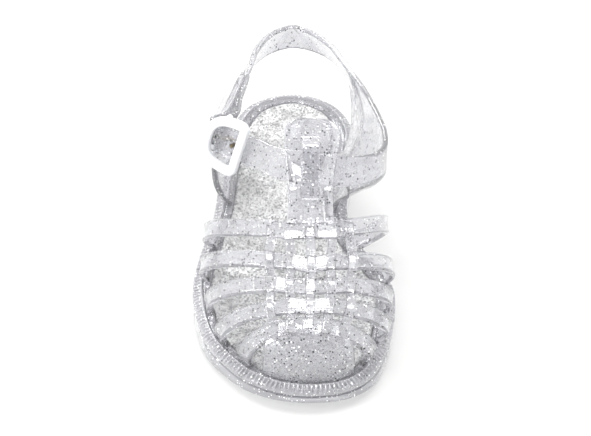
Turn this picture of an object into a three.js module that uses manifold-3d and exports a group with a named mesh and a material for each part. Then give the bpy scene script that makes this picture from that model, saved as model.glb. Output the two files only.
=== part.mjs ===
// A toddler's jelly sandal for the right foot, moulded in clear glitter PVC, in millimetres with +Z up.
// The toe points to -Y, the heel to +Y and the arch side to +X. It stands on the plane z = 0.
import * as THREE from "three";
import { mergeVertices } from "three/addons/utils/BufferGeometryUtils.js";
import Module from "manifold-3d";

const wasm = await Module();
wasm.setup();

// Driving dimensions of the whole shoe
const soleLength = 145;
const ballWidth = 63.5;
const heelHeight = 14;
const instepHeight = 54.5;
const ankleHeight = 41;

// The sole's edge
const baseStep = 3.4;
const grooveDepth = 0.9;
const grooveWidth = 0.5;
const ribPitch = 1.45;
const ribDepth = 0.7;
const ribBand = 2.6;
const rimDrop = 1.4;
const lipWidth = 0.4;
const treadBevel = 1;
const treadInset = 0.5;
const wallDraft = 0.1;
const grooveFlare = 0.15;
const lipDrop = 0.15;
const recessDepth = 2.9;
const lugDepth = 1.2;
const lugGroove = 2;
const lugPitch = 7;

// The margin that carries the straps, and the insole inside it
const gap = 0.3;
const marginWidth = 2.3;
const marginHeight = 2.2;
const insoleThickness = 2;
const insoleDish = 0.5;
const dishWidth = 5;
const insoleRound = 0.2;

// Straps
const strapThickness = 1.8;
const edgeEase = 0.6;
const vampStrapWidth = 6;
const stripWidth = 3;
const stripPitch = 6.1;
const weaveRise = 1.15;
const stripOverrun = 3.3;
const ankleStrapWidth = 10;
const heelBandWidth = 9.4;
const toeBandWidth = 26;
const webThickness = 1.8;
const keeperWidth = 5.8;
const keeperRamp = 3.2;
const strapHole = 2.4;
const holePitch = 6;

// The buckle
const frameLength = 14;
const frameHeight = 18.6;
const frameBand = 2.9;
const frameThickness = 2.6;
const hingeRadius = 0.7;
const eyeWall = 1;
const prongWire = 1.3;
const frameCorner = 1.6;
const bowReach = 0.75;
const bowHeight = 0.55;
const legRadius = 0.84;
const prongSag = 0.1;
const prongBend = 1;
const prongReach = 1.45;
const buckleLean = THREE.MathUtils.degToRad(17);
const buckleRoll = THREE.MathUtils.degToRad(11);

const marginInset = ribBand + lipWidth + gap;
const rootInset = marginInset + marginWidth / 2;
const rootLift = 0.7;

// The edge of the sole seen from above, round from the heel's back by the arch and the toe.
// at is a share of soleLength from the heel, side a share of ballWidth towards the arch.
const OUTLINE = [
  { at: 0, side: 0.008 },
  { at: 0.043, side: 0.215 },
  { at: 0.142, side: 0.318 },
  { at: 0.259, side: 0.305 },
  { at: 0.411, side: 0.277 },
  { at: 0.5, side: 0.307 },
  { at: 0.577, side: 0.41 },
  { at: 0.656, side: 0.494 },
  { at: 0.715, side: 0.503 },
  { at: 0.756, side: 0.493 },
  { at: 0.845, side: 0.46 },
  { at: 0.934, side: 0.384 },
  { at: 0.983, side: 0.268 },
  { at: 1, side: 0.118 },
  { at: 0.992, side: -0.047 },
  { at: 0.955, side: -0.202 },
  { at: 0.899, side: -0.32 },
  { at: 0.829, side: -0.417 },
  { at: 0.721, side: -0.477 },
  { at: 0.651, side: -0.486 },
  { at: 0.577, side: -0.465 },
  { at: 0.514, side: -0.434 },
  { at: 0.425, side: -0.392 },
  { at: 0.328, side: -0.375 },
  { at: 0.232, side: -0.356 },
  { at: 0.116, side: -0.309 },
  { at: 0.035, side: -0.203 },
];

// The sole seen from the side: the rim's top and the tread, as shares of heelHeight.
const PROFILE = [
  { at: 0, rim: 1.02, tread: 0.05 },
  { at: 0.055, rim: 1.01, tread: 0 },
  { at: 0.28, rim: 0.95, tread: 0 },
  { at: 0.341, rim: 0.92, tread: 0.12 },
  { at: 0.463, rim: 0.81, tread: 0.16 },
  { at: 0.566, rim: 0.71, tread: 0.06 },
  { at: 0.617, rim: 0.66, tread: 0 },
  { at: 0.8, rim: 0.57, tread: 0 },
  { at: 0.923, rim: 0.57, tread: 0.07 },
  { at: 1, rim: 0.63, tread: 0.22 },
];

// Where the tread is cut into lugs, under the heel and under the ball of the foot.
const LUGS = [
  { from: 0.1, to: 0.24 },
  { from: 0.62, to: 0.84 },
];

// The crown of the last from the toe to the top of the T-bar: rise is a share of instepHeight.
const CROWN = [
  { at: 0.494, rise: 1, side: 0.1 },
  { at: 0.535, rise: 0.934, side: 0.094 },
  { at: 0.583, rise: 0.828, side: 0.088 },
  { at: 0.635, rise: 0.717, side: 0.087 },
  { at: 0.687, rise: 0.622, side: 0.088 },
  { at: 0.735, rise: 0.569, side: 0.09 },
  { at: 0.797, rise: 0.51, side: 0.09 },
  { at: 0.852, rise: 0.459, side: 0.087 },
  { at: 0.897, rise: 0.415, side: 0.079 },
  { at: 0.935, rise: 0.367, side: 0.075 },
];

// The cross straps of the vamp, from the instep to the toe. crown and each root say where a strap crosses
// the crown and leaves the sole's two edges, as shares of soleLength. square is how square it stands to
// the shoe's length at its roots, and lag how far back its shoulders lie on the way to them. A flare says
// how far its side stands out from the root and a shoulder how broad its top is, as shares of ballWidth.
// lift is the flare's height as a share of the strap's rise.
const STRAPS = [
  {
    crown: 0.694,
    square: 1,
    lag: 0.2,
    medial: { root: 0.53, flare: 0.405, lift: 0.15, shoulder: 0.33 },
    lateral: { root: 0.53, flare: 0.165, lift: 0.26, shoulder: 0.37 },
  },
  {
    crown: 0.768,
    square: 0.7,
    lag: 0.35,
    medial: { root: 0.64, flare: 0.155, lift: 0.12, shoulder: 0.38 },
    lateral: { root: 0.628, flare: 0.09, lift: 0.26, shoulder: 0.4 },
  },
  {
    crown: 0.82,
    square: 0.5,
    lag: 0.45,
    medial: { root: 0.745, flare: 0.11, lift: 0.2, shoulder: 0.35 },
    lateral: { root: 0.741, flare: 0.02, lift: 0.26, shoulder: 0.39 },
  },
  {
    crown: 0.863,
    square: 0.2,
    lag: 0.45,
    medial: { root: 0.831, flare: 0.15, lift: 0.2, shoulder: 0.28 },
    lateral: { root: 0.85, flare: 0.05, lift: 0.26, shoulder: 0.33 },
  },
  {
    crown: 0.902,
    square: 0,
    lag: 0.45,
    medial: { root: 0.907, flare: 0.09, lift: 0.26, shoulder: 0.2 },
    lateral: { root: 0.925, flare: 0.03, lift: 0.26, shoulder: 0.25 },
  },
];
// How much wider than vampStrapWidth a strap is at its flares, and how much it loses by the crown.
const flareBreadth = 1.1;
const crownLoss = 0.24;
const shoulderDrop = 0.05;
// How far the weave's strips draw together from each cross strap to the next.
const STRIP_CLOSING = [1, 1, 1, 0.96, 0.86];

// The T-bar's plate up the crown, its widths as shares of ballWidth and its depth of strapThickness.
const T_BAR = [
  { at: 0.708, width: 0.27, depth: 0.7 },
  { at: 0.688, width: 0.25, depth: 0.72 },
  { at: 0.662, width: 0.22, depth: 1 },
  { at: 0.627, width: 0.215, depth: 1 },
  { at: 0.586, width: 0.235, depth: 1 },
  { at: 0.545, width: 0.26, depth: 1 },
  { at: 0.518, width: 0.262, depth: 1 },
  { at: 0.506, width: 0.245, depth: 1 },
  { at: 0.498, width: 0.195, depth: 1 },
  { at: 0.494, width: 0.13, depth: 1 },
];
// The two raised strips that go on up the T-bar as its rails, each with its height over the plate's middle.
const RAILS = [
  { at: 0.672, lift: 0.9 },
  { at: 0.645, lift: 0.9 },
  { at: 0.622, lift: 0.9 },
  { at: 0.61, lift: 0.1 },
];
const railInset = 0.1;
const keeperAt = 0.584;

// The heel band and ankle strap in one run: from the lateral end behind the buckle, round the heel and
// the arch side. at is a share of soleLength, side of ballWidth and rise of ankleHeight. lean is
// how far the top tips in over the foot, in degrees.
const HEEL_BAND = [
  { at: 0.388, side: -0.3, rise: 1.01, lean: 22 },
  { at: 0.321, side: -0.291, rise: 1.005, lean: 28 },
  { at: 0.259, side: -0.268, rise: 1.005, lean: 33 },
  { at: 0.195, side: -0.236, rise: 1, lean: 31 },
  { at: 0.127, side: -0.196, rise: 0.995, lean: 24 },
  { at: 0.065, side: -0.108, rise: 0.985, lean: 14 },
  { at: 0.039, side: 0.005, rise: 0.98, lean: 9 },
  { at: 0.061, side: 0.112, rise: 0.985, lean: 18 },
  { at: 0.108, side: 0.203, rise: 0.995, lean: 24 },
  { at: 0.167, side: 0.262, rise: 1, lean: 20 },
  { at: 0.224, side: 0.306, rise: 1.005, lean: 12 },
  { at: 0.28, side: 0.343, rise: 1.005, lean: -3 },
  { at: 0.336, side: 0.378, rise: 1, lean: -13 },
  { at: 0.397, side: 0.42, rise: 0.998, lean: -12 },
];
const ANKLE_STRAP = [
  { at: 0.453, side: 0.448, rise: 0.995, lean: -6 },
  { at: 0.507, side: 0.447, rise: 1, lean: 0 },
  { at: 0.542, side: 0.405, rise: 1.017, lean: 2 },
  { at: 0.56, side: 0.35, rise: 1.037, lean: 5 },
  { at: 0.578, side: 0.28, rise: 1.065, lean: 14 },
  { at: 0.589, side: 0.2, rise: 1.1, lean: 32 },
];
const ANKLE_STRAP_END = [
  { at: 0.573, side: -0.02, rise: 1.11, lean: 34 },
  { at: 0.542, side: -0.1, rise: 1.075, lean: 20 },
  { at: 0.511, side: -0.16, rise: 1.053, lean: 14 },
];
const TAIL = [
  { at: 0.405, side: -0.362, rise: 1.05, lean: 22 },
  { at: 0.351, side: -0.34, rise: 1.035, lean: 28 },
  { at: 0.29, side: -0.316, rise: 1.025, lean: 33 },
  { at: 0.25, side: -0.294, rise: 1.02, lean: 33 },
  { at: 0.215, side: -0.27, rise: 1.01, lean: 31 },
];
// The tail's tip, as shares of the strap's width and thickness.
const tipWidth = 0.7;
const tipThickness = 0.45;
// The strap through the buckle and the band that leaves its eye, in mm rearward of the buckle's middle
// and out of the foot.
const THROUGH = [
  { back: -8, out: 0 },
  { back: 0, out: 0 },
  { back: 4.4, out: -0.1 },
  { back: 6.6, out: -1.4 },
];
const EYE_BAND = [
  { back: 0, out: 0 },
  { back: 2.8, out: -0.5 },
];

// The two quarters: webs that rise from the margin to the band, each by its front and rear ends.
// bulge says how far a web stands out, as a share of ballWidth.
const QUARTERS = [
  { sign: 1, rootRear: 0.25, rootFront: 0.423, topRear: 0.5, topFront: 0.965, bulge: 0.06 },
  { sign: -1, rootRear: 0.198, rootFront: 0.405, topRear: 0.21, topFront: 0.02, bulge: 0.1 },
];
// A web's way up: where it stands out low down and high up, as shares of its height and of its bulge,
// how far it laps up behind the band's edge and how far its rear edge leans forward, in mm.
const lowRise = 0.22;
const lowBulge = 1.2;
const highFall = 0.2;
const highBulge = 0.3;
const hemLap = 1;
const rearSweep = 9;

const UP = new THREE.Vector3(0, 0, 1);
const REAR = new THREE.Vector3(0, 1, 0);
const ARCH_SIDE = new THREE.Vector3(1, 0, 0);

// A smooth curve through one column of a table, read at any share. It never swings past its rows.
function column(rows, key, at) {
  const sorted = [...rows].sort((a, b) => a.at - b.at);
  const x = sorted.map((row) => row.at);
  const y = sorted.map((row) => row[key]);
  const last = x.length - 1;
  if (at <= x[0]) return y[0];
  if (at >= x[last]) return y[last];
  const slope = (i) => (y[i + 1] - y[i]) / (x[i + 1] - x[i]);
  const tangent = (i) => {
    if (i === 0) return slope(0);
    if (i === last) return slope(last - 1);
    const product = slope(i - 1) * slope(i);
    return product > 0 ? (2 * product) / (slope(i - 1) + slope(i)) : 0;
  };
  const i = x.findIndex((value) => value > at) - 1;
  const width = x[i + 1] - x[i];
  const t = (at - x[i]) / width;
  const from = y[i] + (t * (1 - t) * (1 - t) * tangent(i) + t * t * (t - 1) * tangent(i + 1)) * width;
  return from + (y[i + 1] - y[i]) * t * t * (3 - 2 * t);
}

const yAt = (at) => (0.5 - at) * soleLength;
const shareAt = (y) => 0.5 - y / soleLength;
const rimHeight = (y) => column(PROFILE, "rim", shareAt(y)) * heelHeight;
const treadHeight = (y) => column(PROFILE, "tread", shareAt(y)) * heelHeight;

const outline = new THREE.CatmullRomCurve3(
  OUTLINE.map((row) => new THREE.Vector3(row.side * ballWidth, yAt(row.at), 0)),
  true,
);
outline.arcLengthDivisions = 600;

// A point of the sole's edge at share u of the way round, moved inwards by inset.
function edgePoint(u, inset, height) {
  const tangent = outline.getTangentAt(u);
  const point = outline.getPointAt(u);
  point.x += tangent.y * inset;
  point.y -= tangent.x * inset;
  point.z = height(point.y);
  return point;
}

// The share of the way round at which one side of the edge stands at a share of the length.
function edgeShare(at, sign) {
  let low = sign > 0 ? 0 : 0.52;
  let high = sign > 0 ? 0.48 : 1;
  for (let i = 0; i < 24; i++) {
    const middle = (low + high) / 2;
    const past = shareAt(outline.getPointAt(middle).y) > at;
    if (past === sign > 0) high = middle;
    else low = middle;
  }
  return (low + high) / 2;
}

// A closed ring round the sole, moved inwards by inset. All rings have their points at the same shares
// of the way round, so that rings a gap apart keep that gap.
function edgeRing(inset, height) {
  const count = 50;
  return Array.from({ length: count }, (_, i) => edgePoint(i / count, inset, height));
}

// One closed mesh through a list of rings, which may differ in their number of points.
// A loop of rings joins its last to its first, and otherwise both ends are closed by rungs.
function loft(rings, loop = false) {
  const positions = rings.flat();
  const starts = [];
  rings.reduce((sum, ring) => (starts.push(sum), sum + ring.length), 0);
  const faces = [];
  const stitch = (a, b) => {
    const lower = rings[a].length;
    const upper = rings[b].length;
    let i = 0;
    let j = 0;
    while (i < lower || j < upper) {
      const p = starts[a] + (i % lower);
      const q = starts[b] + (j % upper);
      if (j === upper || (i < lower && (i + 1) / lower <= (j + 1) / upper)) {
        faces.push(p, starts[a] + ((i + 1) % lower), q);
        i++;
      } else {
        faces.push(p, starts[b] + ((j + 1) % upper), q);
        j++;
      }
    }
  };
  const close = (k, turned) => {
    const n = rings[k].length;
    const at = (i) => starts[k] + (i % n);
    for (let i = 0; 2 * i < n - 1; i++) {
      const quad = [at(i), at(i + 1), at(n - i - 1), at(n - i)];
      const triangles = [
        [quad[0], quad[1], quad[2]],
        [quad[0], quad[2], quad[3]],
      ];
      triangles
        .filter((t) => new Set(t).size === 3)
        .forEach((t) => faces.push(...(turned ? t : [...t].reverse())));
    }
  };
  for (let k = 0; k + 1 < rings.length; k++) stitch(k, k + 1);
  if (loop) stitch(rings.length - 1, 0);
  else {
    close(0, false);
    close(rings.length - 1, true);
  }
  const geometry = new THREE.BufferGeometry().setFromPoints(positions);
  geometry.setIndex(faces);
  return geometry;
}

// A closed geometry as a solid that can be joined and cut, turned outside out where it has to be.
function solid(geometry) {
  const plain = geometry.index ? geometry.toNonIndexed() : geometry.clone();
  plain.deleteAttribute("normal");
  plain.deleteAttribute("uv");
  const merged = mergeVertices(plain, 1e-4);
  const corners = merged.getAttribute("position").array;
  const index = new Uint32Array(merged.index.array);
  const make = (triVerts) =>
    new wasm.Manifold(new wasm.Mesh({ numProp: 3, vertProperties: corners, triVerts }));
  const made = make(index);
  return made.volume() > 0 ? made : make(index.slice().reverse());
}

const joined = (solids) => solids.reduce((sum, next) => sum.add(next));

// A solid back as a named mesh with its own material.
function mesh(name, made, look) {
  const data = made.getMesh();
  const geometry = new THREE.BufferGeometry();
  geometry.setAttribute("position", new THREE.BufferAttribute(data.vertProperties, data.numProp));
  geometry.setIndex(new THREE.BufferAttribute(data.triVerts, 1));
  geometry.computeVertexNormals();
  const part = new THREE.Mesh(geometry, new THREE.MeshStandardMaterial(look));
  part.name = name;
  return part;
}

// A strap through stations, each with its middle p, the direction of its width, its width and thickness.
// The section is a flat bar whose two edges are eased.
function strap(stations) {
  const rings = stations.map((station, i) => {
    const before = stations[Math.max(i - 1, 0)].p;
    const after = stations[Math.min(i + 1, stations.length - 1)].p;
    const run = after.clone().sub(before).normalize();
    const across = station.across.clone().addScaledVector(run, -run.dot(station.across)).normalize();
    const out = run.clone().cross(across);
    const half = station.width / 2;
    const thick = (station.thickness ?? strapThickness) / 2;
    const flat = half - edgeEase * thick;
    const corners = [
      [half, 0],
      [flat, thick],
      [-flat, thick],
      [-half, 0],
      [-flat, -thick],
      [flat, -thick],
    ];
    return corners.map(([a, b]) =>
      station.p.clone().addScaledVector(across, a).addScaledVector(out, b),
    );
  });
  return solid(loft(rings));
}

// Reads stations as one smooth run of steps pieces.
function run(stations, steps) {
  const curve = new THREE.CatmullRomCurve3(stations.map((station) => station.p));
  const across = new THREE.CatmullRomCurve3(stations.map((station) => station.across));
  const size = new THREE.CatmullRomCurve3(
    stations.map((station) => new THREE.Vector3(station.width, station.thickness ?? strapThickness)),
  );
  return Array.from({ length: steps + 1 }, (_, i) => ({
    p: curve.getPoint(i / steps),
    across: across.getPoint(i / steps).normalize(),
    width: size.getPoint(i / steps).x,
    thickness: size.getPoint(i / steps).y,
  }));
}

const loopMiddle = new THREE.Vector3(0.03 * ballWidth, yAt(0.31), 0);

// A row of a table round the ankle as a station, its top tipped in over the foot by its lean.
function ankleStation(row, width) {
  const p = new THREE.Vector3(row.side * ballWidth, yAt(row.at), row.rise * ankleHeight);
  const inward = loopMiddle.clone().sub(p).setZ(0).normalize();
  const lean = THREE.MathUtils.degToRad(row.lean);
  const across = UP.clone().multiplyScalar(Math.cos(lean)).addScaledVector(inward, Math.sin(lean));
  return { p, across, width };
}

// A point of the crown with the direction up along it and the direction out of the foot.
function crownFrame(at) {
  const point = (share) =>
    new THREE.Vector3(
      column(CROWN, "side", share) * ballWidth,
      yAt(share),
      column(CROWN, "rise", share) * instepHeight,
    );
  const step = 0.004;
  const p = point(at);
  const ahead = point(Math.min(at + step, CROWN.at(-1).at));
  const behind = point(Math.max(at - step, CROWN[0].at));
  const up = behind.sub(ahead).normalize();
  const out = up.clone().cross(new THREE.Vector3(-1, 0, 0)).normalize();
  return { p, up, out };
}

// One half of a cross strap, from its root in the margin up to the crown: a cubic curve whose second
// point stands out by the flare and whose third lies level with the crown. Its width runs along the
// margin at the root, then squarer to the shoe, and up the crown at the top.
function strapHalf(row, sign) {
  const side = sign > 0 ? row.medial : row.lateral;
  const u = edgeShare(side.root, sign);
  const root = edgePoint(u, rootInset, rimHeight);
  const tangent = outline.getTangentAt(u);
  const outward = new THREE.Vector3(-tangent.y, tangent.x, 0);
  const crown = crownFrame(row.crown);
  const start = root.clone().addScaledVector(UP, rootLift);
  const height = crown.p.z - start.z;
  const flare = start
    .clone()
    .addScaledVector(outward, side.flare * ballWidth)
    .addScaledVector(UP, side.lift * height);
  const shoulder = crown.p.clone();
  shoulder.x += sign * side.shoulder * ballWidth;
  shoulder.y = THREE.MathUtils.lerp(crown.p.y, start.y, row.lag);
  shoulder.z -= shoulderDrop * height;
  const curve = new THREE.CubicBezierCurve3(start, flare, shoulder, crown.p);
  const seated = tangent.clone().multiplyScalar(-sign);
  const squared = seated.clone().lerp(REAR, row.square).normalize();
  return { root, curve, seated, squared, crown };
}

function strapStations(row) {
  const steps = 6;
  const half = (sign) => {
    const { root, curve, seated, squared, crown } = strapHalf(row, sign);
    const foot = root.clone().addScaledVector(UP, -marginHeight / 2);
    const stations = [{ p: foot, across: seated, width: vampStrapWidth }];
    for (let i = 0; i <= steps; i++) {
      const a = i / steps;
      const low = seated.clone().lerp(squared, Math.min(3 * a, 1)).normalize();
      stations.push({
        p: curve.getPoint(a),
        across: low.lerp(crown.up, a).normalize(),
        width: vampStrapWidth * (i > 0 ? flareBreadth - crownLoss * a : 1),
      });
    }
    return stations;
  };
  return [...half(-1), ...half(1).reverse().slice(1)];
}

// A cross strap's point at a distance off the crown, with the direction out of the foot there.
function onStrap(row, offset) {
  const { curve, crown } = strapHalf(row, offset < 0 ? -1 : 1);
  let low = 0.3;
  let high = 1;
  for (let i = 0; i < 20; i++) {
    const middle = (low + high) / 2;
    if (Math.abs(curve.getPoint(middle).x - crown.p.x) > Math.abs(offset)) low = middle;
    else high = middle;
  }
  const a = (low + high) / 2;
  const out = crown.up.clone().cross(curve.getTangent(a)).normalize();
  if (out.z < 0) out.negate();
  return { p: curve.getPoint(a), out };
}

// One long strip of the weave. It lies over every second cross strap and under the others, and two of
// the five go on up the T-bar's plate.
function weaveStrip(index) {
  const offset = (index - 2) * stripPitch;
  const over = index % 2 === 1;
  const points = STRAPS.map((row, i) => {
    const { p, out } = onStrap(row, offset * STRIP_CLOSING[i]);
    const raised = (i % 2 === 0) === over;
    return p.addScaledVector(out, raised ? weaveRise : -weaveRise);
  });
  const last = points.at(-1).clone().sub(points.at(-2)).setLength(stripOverrun);
  points.push(points.at(-1).clone().add(last));
  if (over) {
    for (const row of RAILS) {
      const { p, out } = crownFrame(row.at);
      const aside = (column(T_BAR, "width", row.at) * ballWidth - stripWidth) / 2 - railInset;
      p.addScaledVector(ARCH_SIDE, Math.sign(offset) * aside);
      points.unshift(p.addScaledVector(out, row.lift));
    }
  } else {
    const first = points[0].clone().sub(points[1]).setLength(vampStrapWidth / 3);
    points.unshift(points[0].clone().add(first));
  }
  const curve = new THREE.CatmullRomCurve3(points);
  const steps = over ? 14 : 11;
  const stations = Array.from({ length: steps + 1 }, (_, i) => ({
    p: curve.getPoint(i / steps),
    across: ARCH_SIDE,
    width: stripWidth,
  }));
  return strap(stations);
}

// A wall through a grid of points: rows run along it and each row has the same number of points.
function wall(grid, thickness) {
  const rings = grid.map((row, i) => {
    const normals = row.map((point, j) => {
      const before = grid[Math.max(i - 1, 0)][j];
      const after = grid[Math.min(i + 1, grid.length - 1)][j];
      const left = row[Math.max(j - 1, 0)];
      const right = row[Math.min(j + 1, row.length - 1)];
      return after.clone().sub(before).cross(right.clone().sub(left)).normalize();
    });
    const outer = row.map((point, j) => point.clone().addScaledVector(normals[j], thickness / 2));
    const inner = row.map((point, j) => point.clone().addScaledVector(normals[j], -thickness / 2));
    return [...outer, ...inner.reverse()];
  });
  return solid(loft(rings));
}

// The toe band: a convex wall from the margin at the toe up to the last cross strap. It rises straight to
// toeRise of its height, bends in and runs level into the strap.
const toeRise = 0.62;
const toeBulge = 0.06;
const toeReach = 0.42;
const toeDrop = 0.08;
const toeClosing = 0.92;
function toeBand() {
  const columns = 8;
  const rows = 5;
  const front = STRAPS.at(-1);
  const middle = crownFrame(front.crown).p.x;
  const grid = Array.from({ length: rows + 2 }, () => []);
  const half = toeBandWidth / 2;
  for (let j = 0; j <= columns; j++) {
    const offset = (2 * j / columns - 1) * half;
    const target = middle + offset;
    let u = 0.5;
    for (let k = 0; k < 12; k++) {
      const miss = edgePoint(u, rootInset, rimHeight).x - target;
      u += miss / outline.getLength();
    }
    const root = edgePoint(u, rootInset, rimHeight);
    const tangent = outline.getTangentAt(u);
    const outward = new THREE.Vector3(-tangent.y, tangent.x, 0);
    const top = onStrap(front, offset * toeClosing).p;
    const start = root.clone().addScaledVector(UP, rootLift);
    const height = top.z - start.z;
    const curve = new THREE.CubicBezierCurve3(
      start,
      start.clone().addScaledVector(UP, toeRise * height).addScaledVector(outward, toeBulge * height),
      top.clone().lerp(start, toeReach).setZ(top.z - toeDrop * height),
      top,
    );
    grid[0].push(root.clone().addScaledVector(UP, -marginHeight / 2));
    for (let i = 0; i <= rows; i++) grid[i + 1].push(curve.getPoint(i / rows));
  }
  return wall(grid, strapThickness);
}

function tBar() {
  return strap(
    T_BAR.map((row) => {
      const { p } = crownFrame(row.at);
      return {
        p,
        across: ARCH_SIDE,
        width: row.width * ballWidth,
        thickness: row.depth * strapThickness,
      };
    }),
  );
}

// The keeper: a bridge over the plate of the T-bar, under which the ankle strap runs.
const keeperLift = strapThickness * 2 + gap * 2;
const keeperSpan = ankleStrapWidth / 2 + gap * 2;
const keeperFoot = keeperSpan + keeperRamp;
function keeper() {
  const { p, up, out } = crownFrame(keeperAt);
  const at = (along, lift) => ({
    p: p.clone().addScaledVector(up, along).addScaledVector(out, lift),
    across: ARCH_SIDE,
    width: keeperWidth,
  });
  return strap([
    at(-keeperFoot - 1, 0),
    at(-keeperFoot, strapThickness / 3),
    at(-keeperSpan - strapThickness / 2, keeperLift),
    at(0, keeperLift + gap),
    at(keeperSpan + strapThickness / 2, keeperLift),
    at(keeperFoot, strapThickness / 3),
    at(keeperFoot + 1, 0),
  ]);
}

// The buckle's own frame: back along the strap, out of the foot and up the strap's width. Its back lies
// level along the outer side of the ankle before it leans and rolls with the strap.
const buckle = (() => {
  const middle = new THREE.Vector3(-0.322 * ballWidth, yAt(0.469), 1.065 * ankleHeight);
  const level = new THREE.Vector3(-0.92, 0.39, 0).normalize();
  const inward = new THREE.Vector3(0.39, 0.92, 0).normalize();
  const upright = UP.clone().applyAxisAngle(inward.clone().cross(UP), -buckleLean);
  const axis = level.clone().cross(upright);
  const back = level.clone().applyAxisAngle(axis, buckleRoll);
  const up = upright.clone().applyAxisAngle(axis, buckleRoll);
  const out = up.clone().cross(back);
  return { up, place: new THREE.Matrix4().makeBasis(back, out, up).setPosition(middle) };
})();

function inBuckle(back, up, out) {
  return new THREE.Vector3(back, out, up).applyMatrix4(buckle.place);
}

const hingeBack = 2.2;
const holeClearance = 0.2;
const eyeRadius = hingeRadius + gap + eyeWall;
const eyeWidth = ankleStrapWidth - 1;
const hingeOut = -(strapThickness / 2 + gap + eyeRadius);
const prongBack = -frameLength / 2 + frameBand + strapHole / 2 + holeClearance;

// A round bar between two points.
function bar(from, to, radius, sides = 10) {
  const geometry = new THREE.CylinderGeometry(radius, radius, from.distanceTo(to), sides);
  const turn = new THREE.Quaternion().setFromUnitVectors(
    new THREE.Vector3(0, 1, 0),
    to.clone().sub(from).normalize(),
  );
  geometry.applyQuaternion(turn);
  const middle = from.clone().lerp(to, 0.5);
  geometry.translate(middle.x, middle.y, middle.z);
  return solid(geometry);
}

function ankleLoop() {
  const band = HEEL_BAND.map((row) => ankleStation(row, heelBandWidth));
  const eye = EYE_BAND.map((row) => ({
    p: inBuckle(hingeBack + row.back, 0, hingeOut + row.out),
    across: buckle.up,
    width: eyeWidth,
  }));
  const { p, up, out } = crownFrame(keeperAt);
  const atKeeper = {
    p: p.addScaledVector(out, strapThickness + gap),
    across: up,
    width: ankleStrapWidth,
  };
  const through = THROUGH.map((row) => ({
    p: inBuckle(row.back, 0, row.out),
    across: buckle.up,
    width: ankleStrapWidth,
  }));
  const tail = TAIL.map((row) => ankleStation(row, ankleStrapWidth));
  tail.at(-1).width *= tipWidth;
  tail.at(-1).thickness = strapThickness * tipThickness;
  const stations = [
    ...eye,
    ...band,
    ...ANKLE_STRAP.map((row) => ankleStation(row, ankleStrapWidth)),
    atKeeper,
    ...ANKLE_STRAP_END.map((row) => ankleStation(row, ankleStrapWidth)),
    ...through,
    ...tail,
  ];
  const carrying = stations.slice(eye.length, eye.length + band.length + ANKLE_STRAP.length);
  return {
    stations,
    middle: new THREE.CatmullRomCurve3(carrying.map((station) => station.p)),
    across: new THREE.CatmullRomCurve3(carrying.map((station) => station.across)),
  };
}

const loop = ankleLoop();

function quarter(row) {
  const columns = 8;
  const rows = 4;
  const grid = Array.from({ length: rows + 3 }, () => []);
  for (let j = 0; j <= columns; j++) {
    const t = j / columns;
    const u = edgeShare(THREE.MathUtils.lerp(row.rootRear, row.rootFront, t), row.sign);
    const root = edgePoint(u, rootInset, rimHeight);
    const along = THREE.MathUtils.lerp(row.topRear, row.topFront, t);
    const top = loop.middle.getPoint(along);
    const down = loop.across.getPoint(along).normalize().negate();
    const start = root.clone().addScaledVector(UP, rootLift);
    const height = top.z - start.z;
    const out = row.sign * row.bulge * ballWidth;
    const sweep = rearSweep * (1 - t) ** 2;
    const low = start.clone().addScaledVector(UP, lowRise * height);
    low.x += lowBulge * out;
    low.y -= sweep;
    const hem = top.clone().addScaledVector(down, heelBandWidth / 2 - hemLap);
    const high = hem.clone().addScaledVector(down, highFall * height);
    high.x += highBulge * out;
    high.y -= sweep;
    const curve = new THREE.CubicBezierCurve3(start, low, high, hem);
    grid[0].push(root.clone().addScaledVector(UP, -marginHeight / 2));
    for (let i = 0; i <= rows; i++) grid[i + 1].push(curve.getPoint(i / rows));
    grid[rows + 2].push(top);
  }
  return wall(grid, webThickness);
}

function margin() {
  const low = (y) => rimHeight(y) - recessDepth + gap;
  const high = (y) => low(y) + marginHeight;
  const outer = marginInset;
  const inner = marginInset + marginWidth;
  const rings = [
    edgeRing(outer, low),
    edgeRing(outer, high),
    edgeRing(inner, high),
    edgeRing(inner, low),
  ];
  return solid(loft(rings, true));
}

function upper() {
  const pieces = [
    margin(),
    ...STRAPS.map((row) => strap(strapStations(row))),
    ...[0, 1, 2, 3, 4].map(weaveStrip),
    toeBand(),
    tBar(),
    keeper(),
    strap(run(loop.stations, 48)),
    ...QUARTERS.map(quarter),
    bar(
      inBuckle(hingeBack, -eyeWidth / 2, hingeOut),
      inBuckle(hingeBack, eyeWidth / 2, hingeOut),
      eyeRadius,
    ),
  ];
  const reach = strapThickness + gap;
  const holes = [0, 1, 2].map((i) =>
    bar(
      inBuckle(prongBack + i * holePitch, 0, -reach / 2 - gap),
      inBuckle(prongBack + i * holePitch, 0, reach),
      strapHole / 2,
    ),
  );
  const bore = bar(
    inBuckle(hingeBack, -ankleStrapWidth, hingeOut),
    inBuckle(hingeBack, ankleStrapWidth, hingeOut),
    hingeRadius + gap,
  );
  const slot = new THREE.BoxGeometry(eyeRadius * 3, eyeRadius * 2 + gap, prongWire + 2 * gap);
  slot.translate(hingeBack - eyeRadius / 4, hingeOut, 0);
  slot.applyMatrix4(buckle.place);
  return joined(pieces)
    .subtract(bore)
    .subtract(solid(slot))
    .subtract(joined(holes));
}

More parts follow.
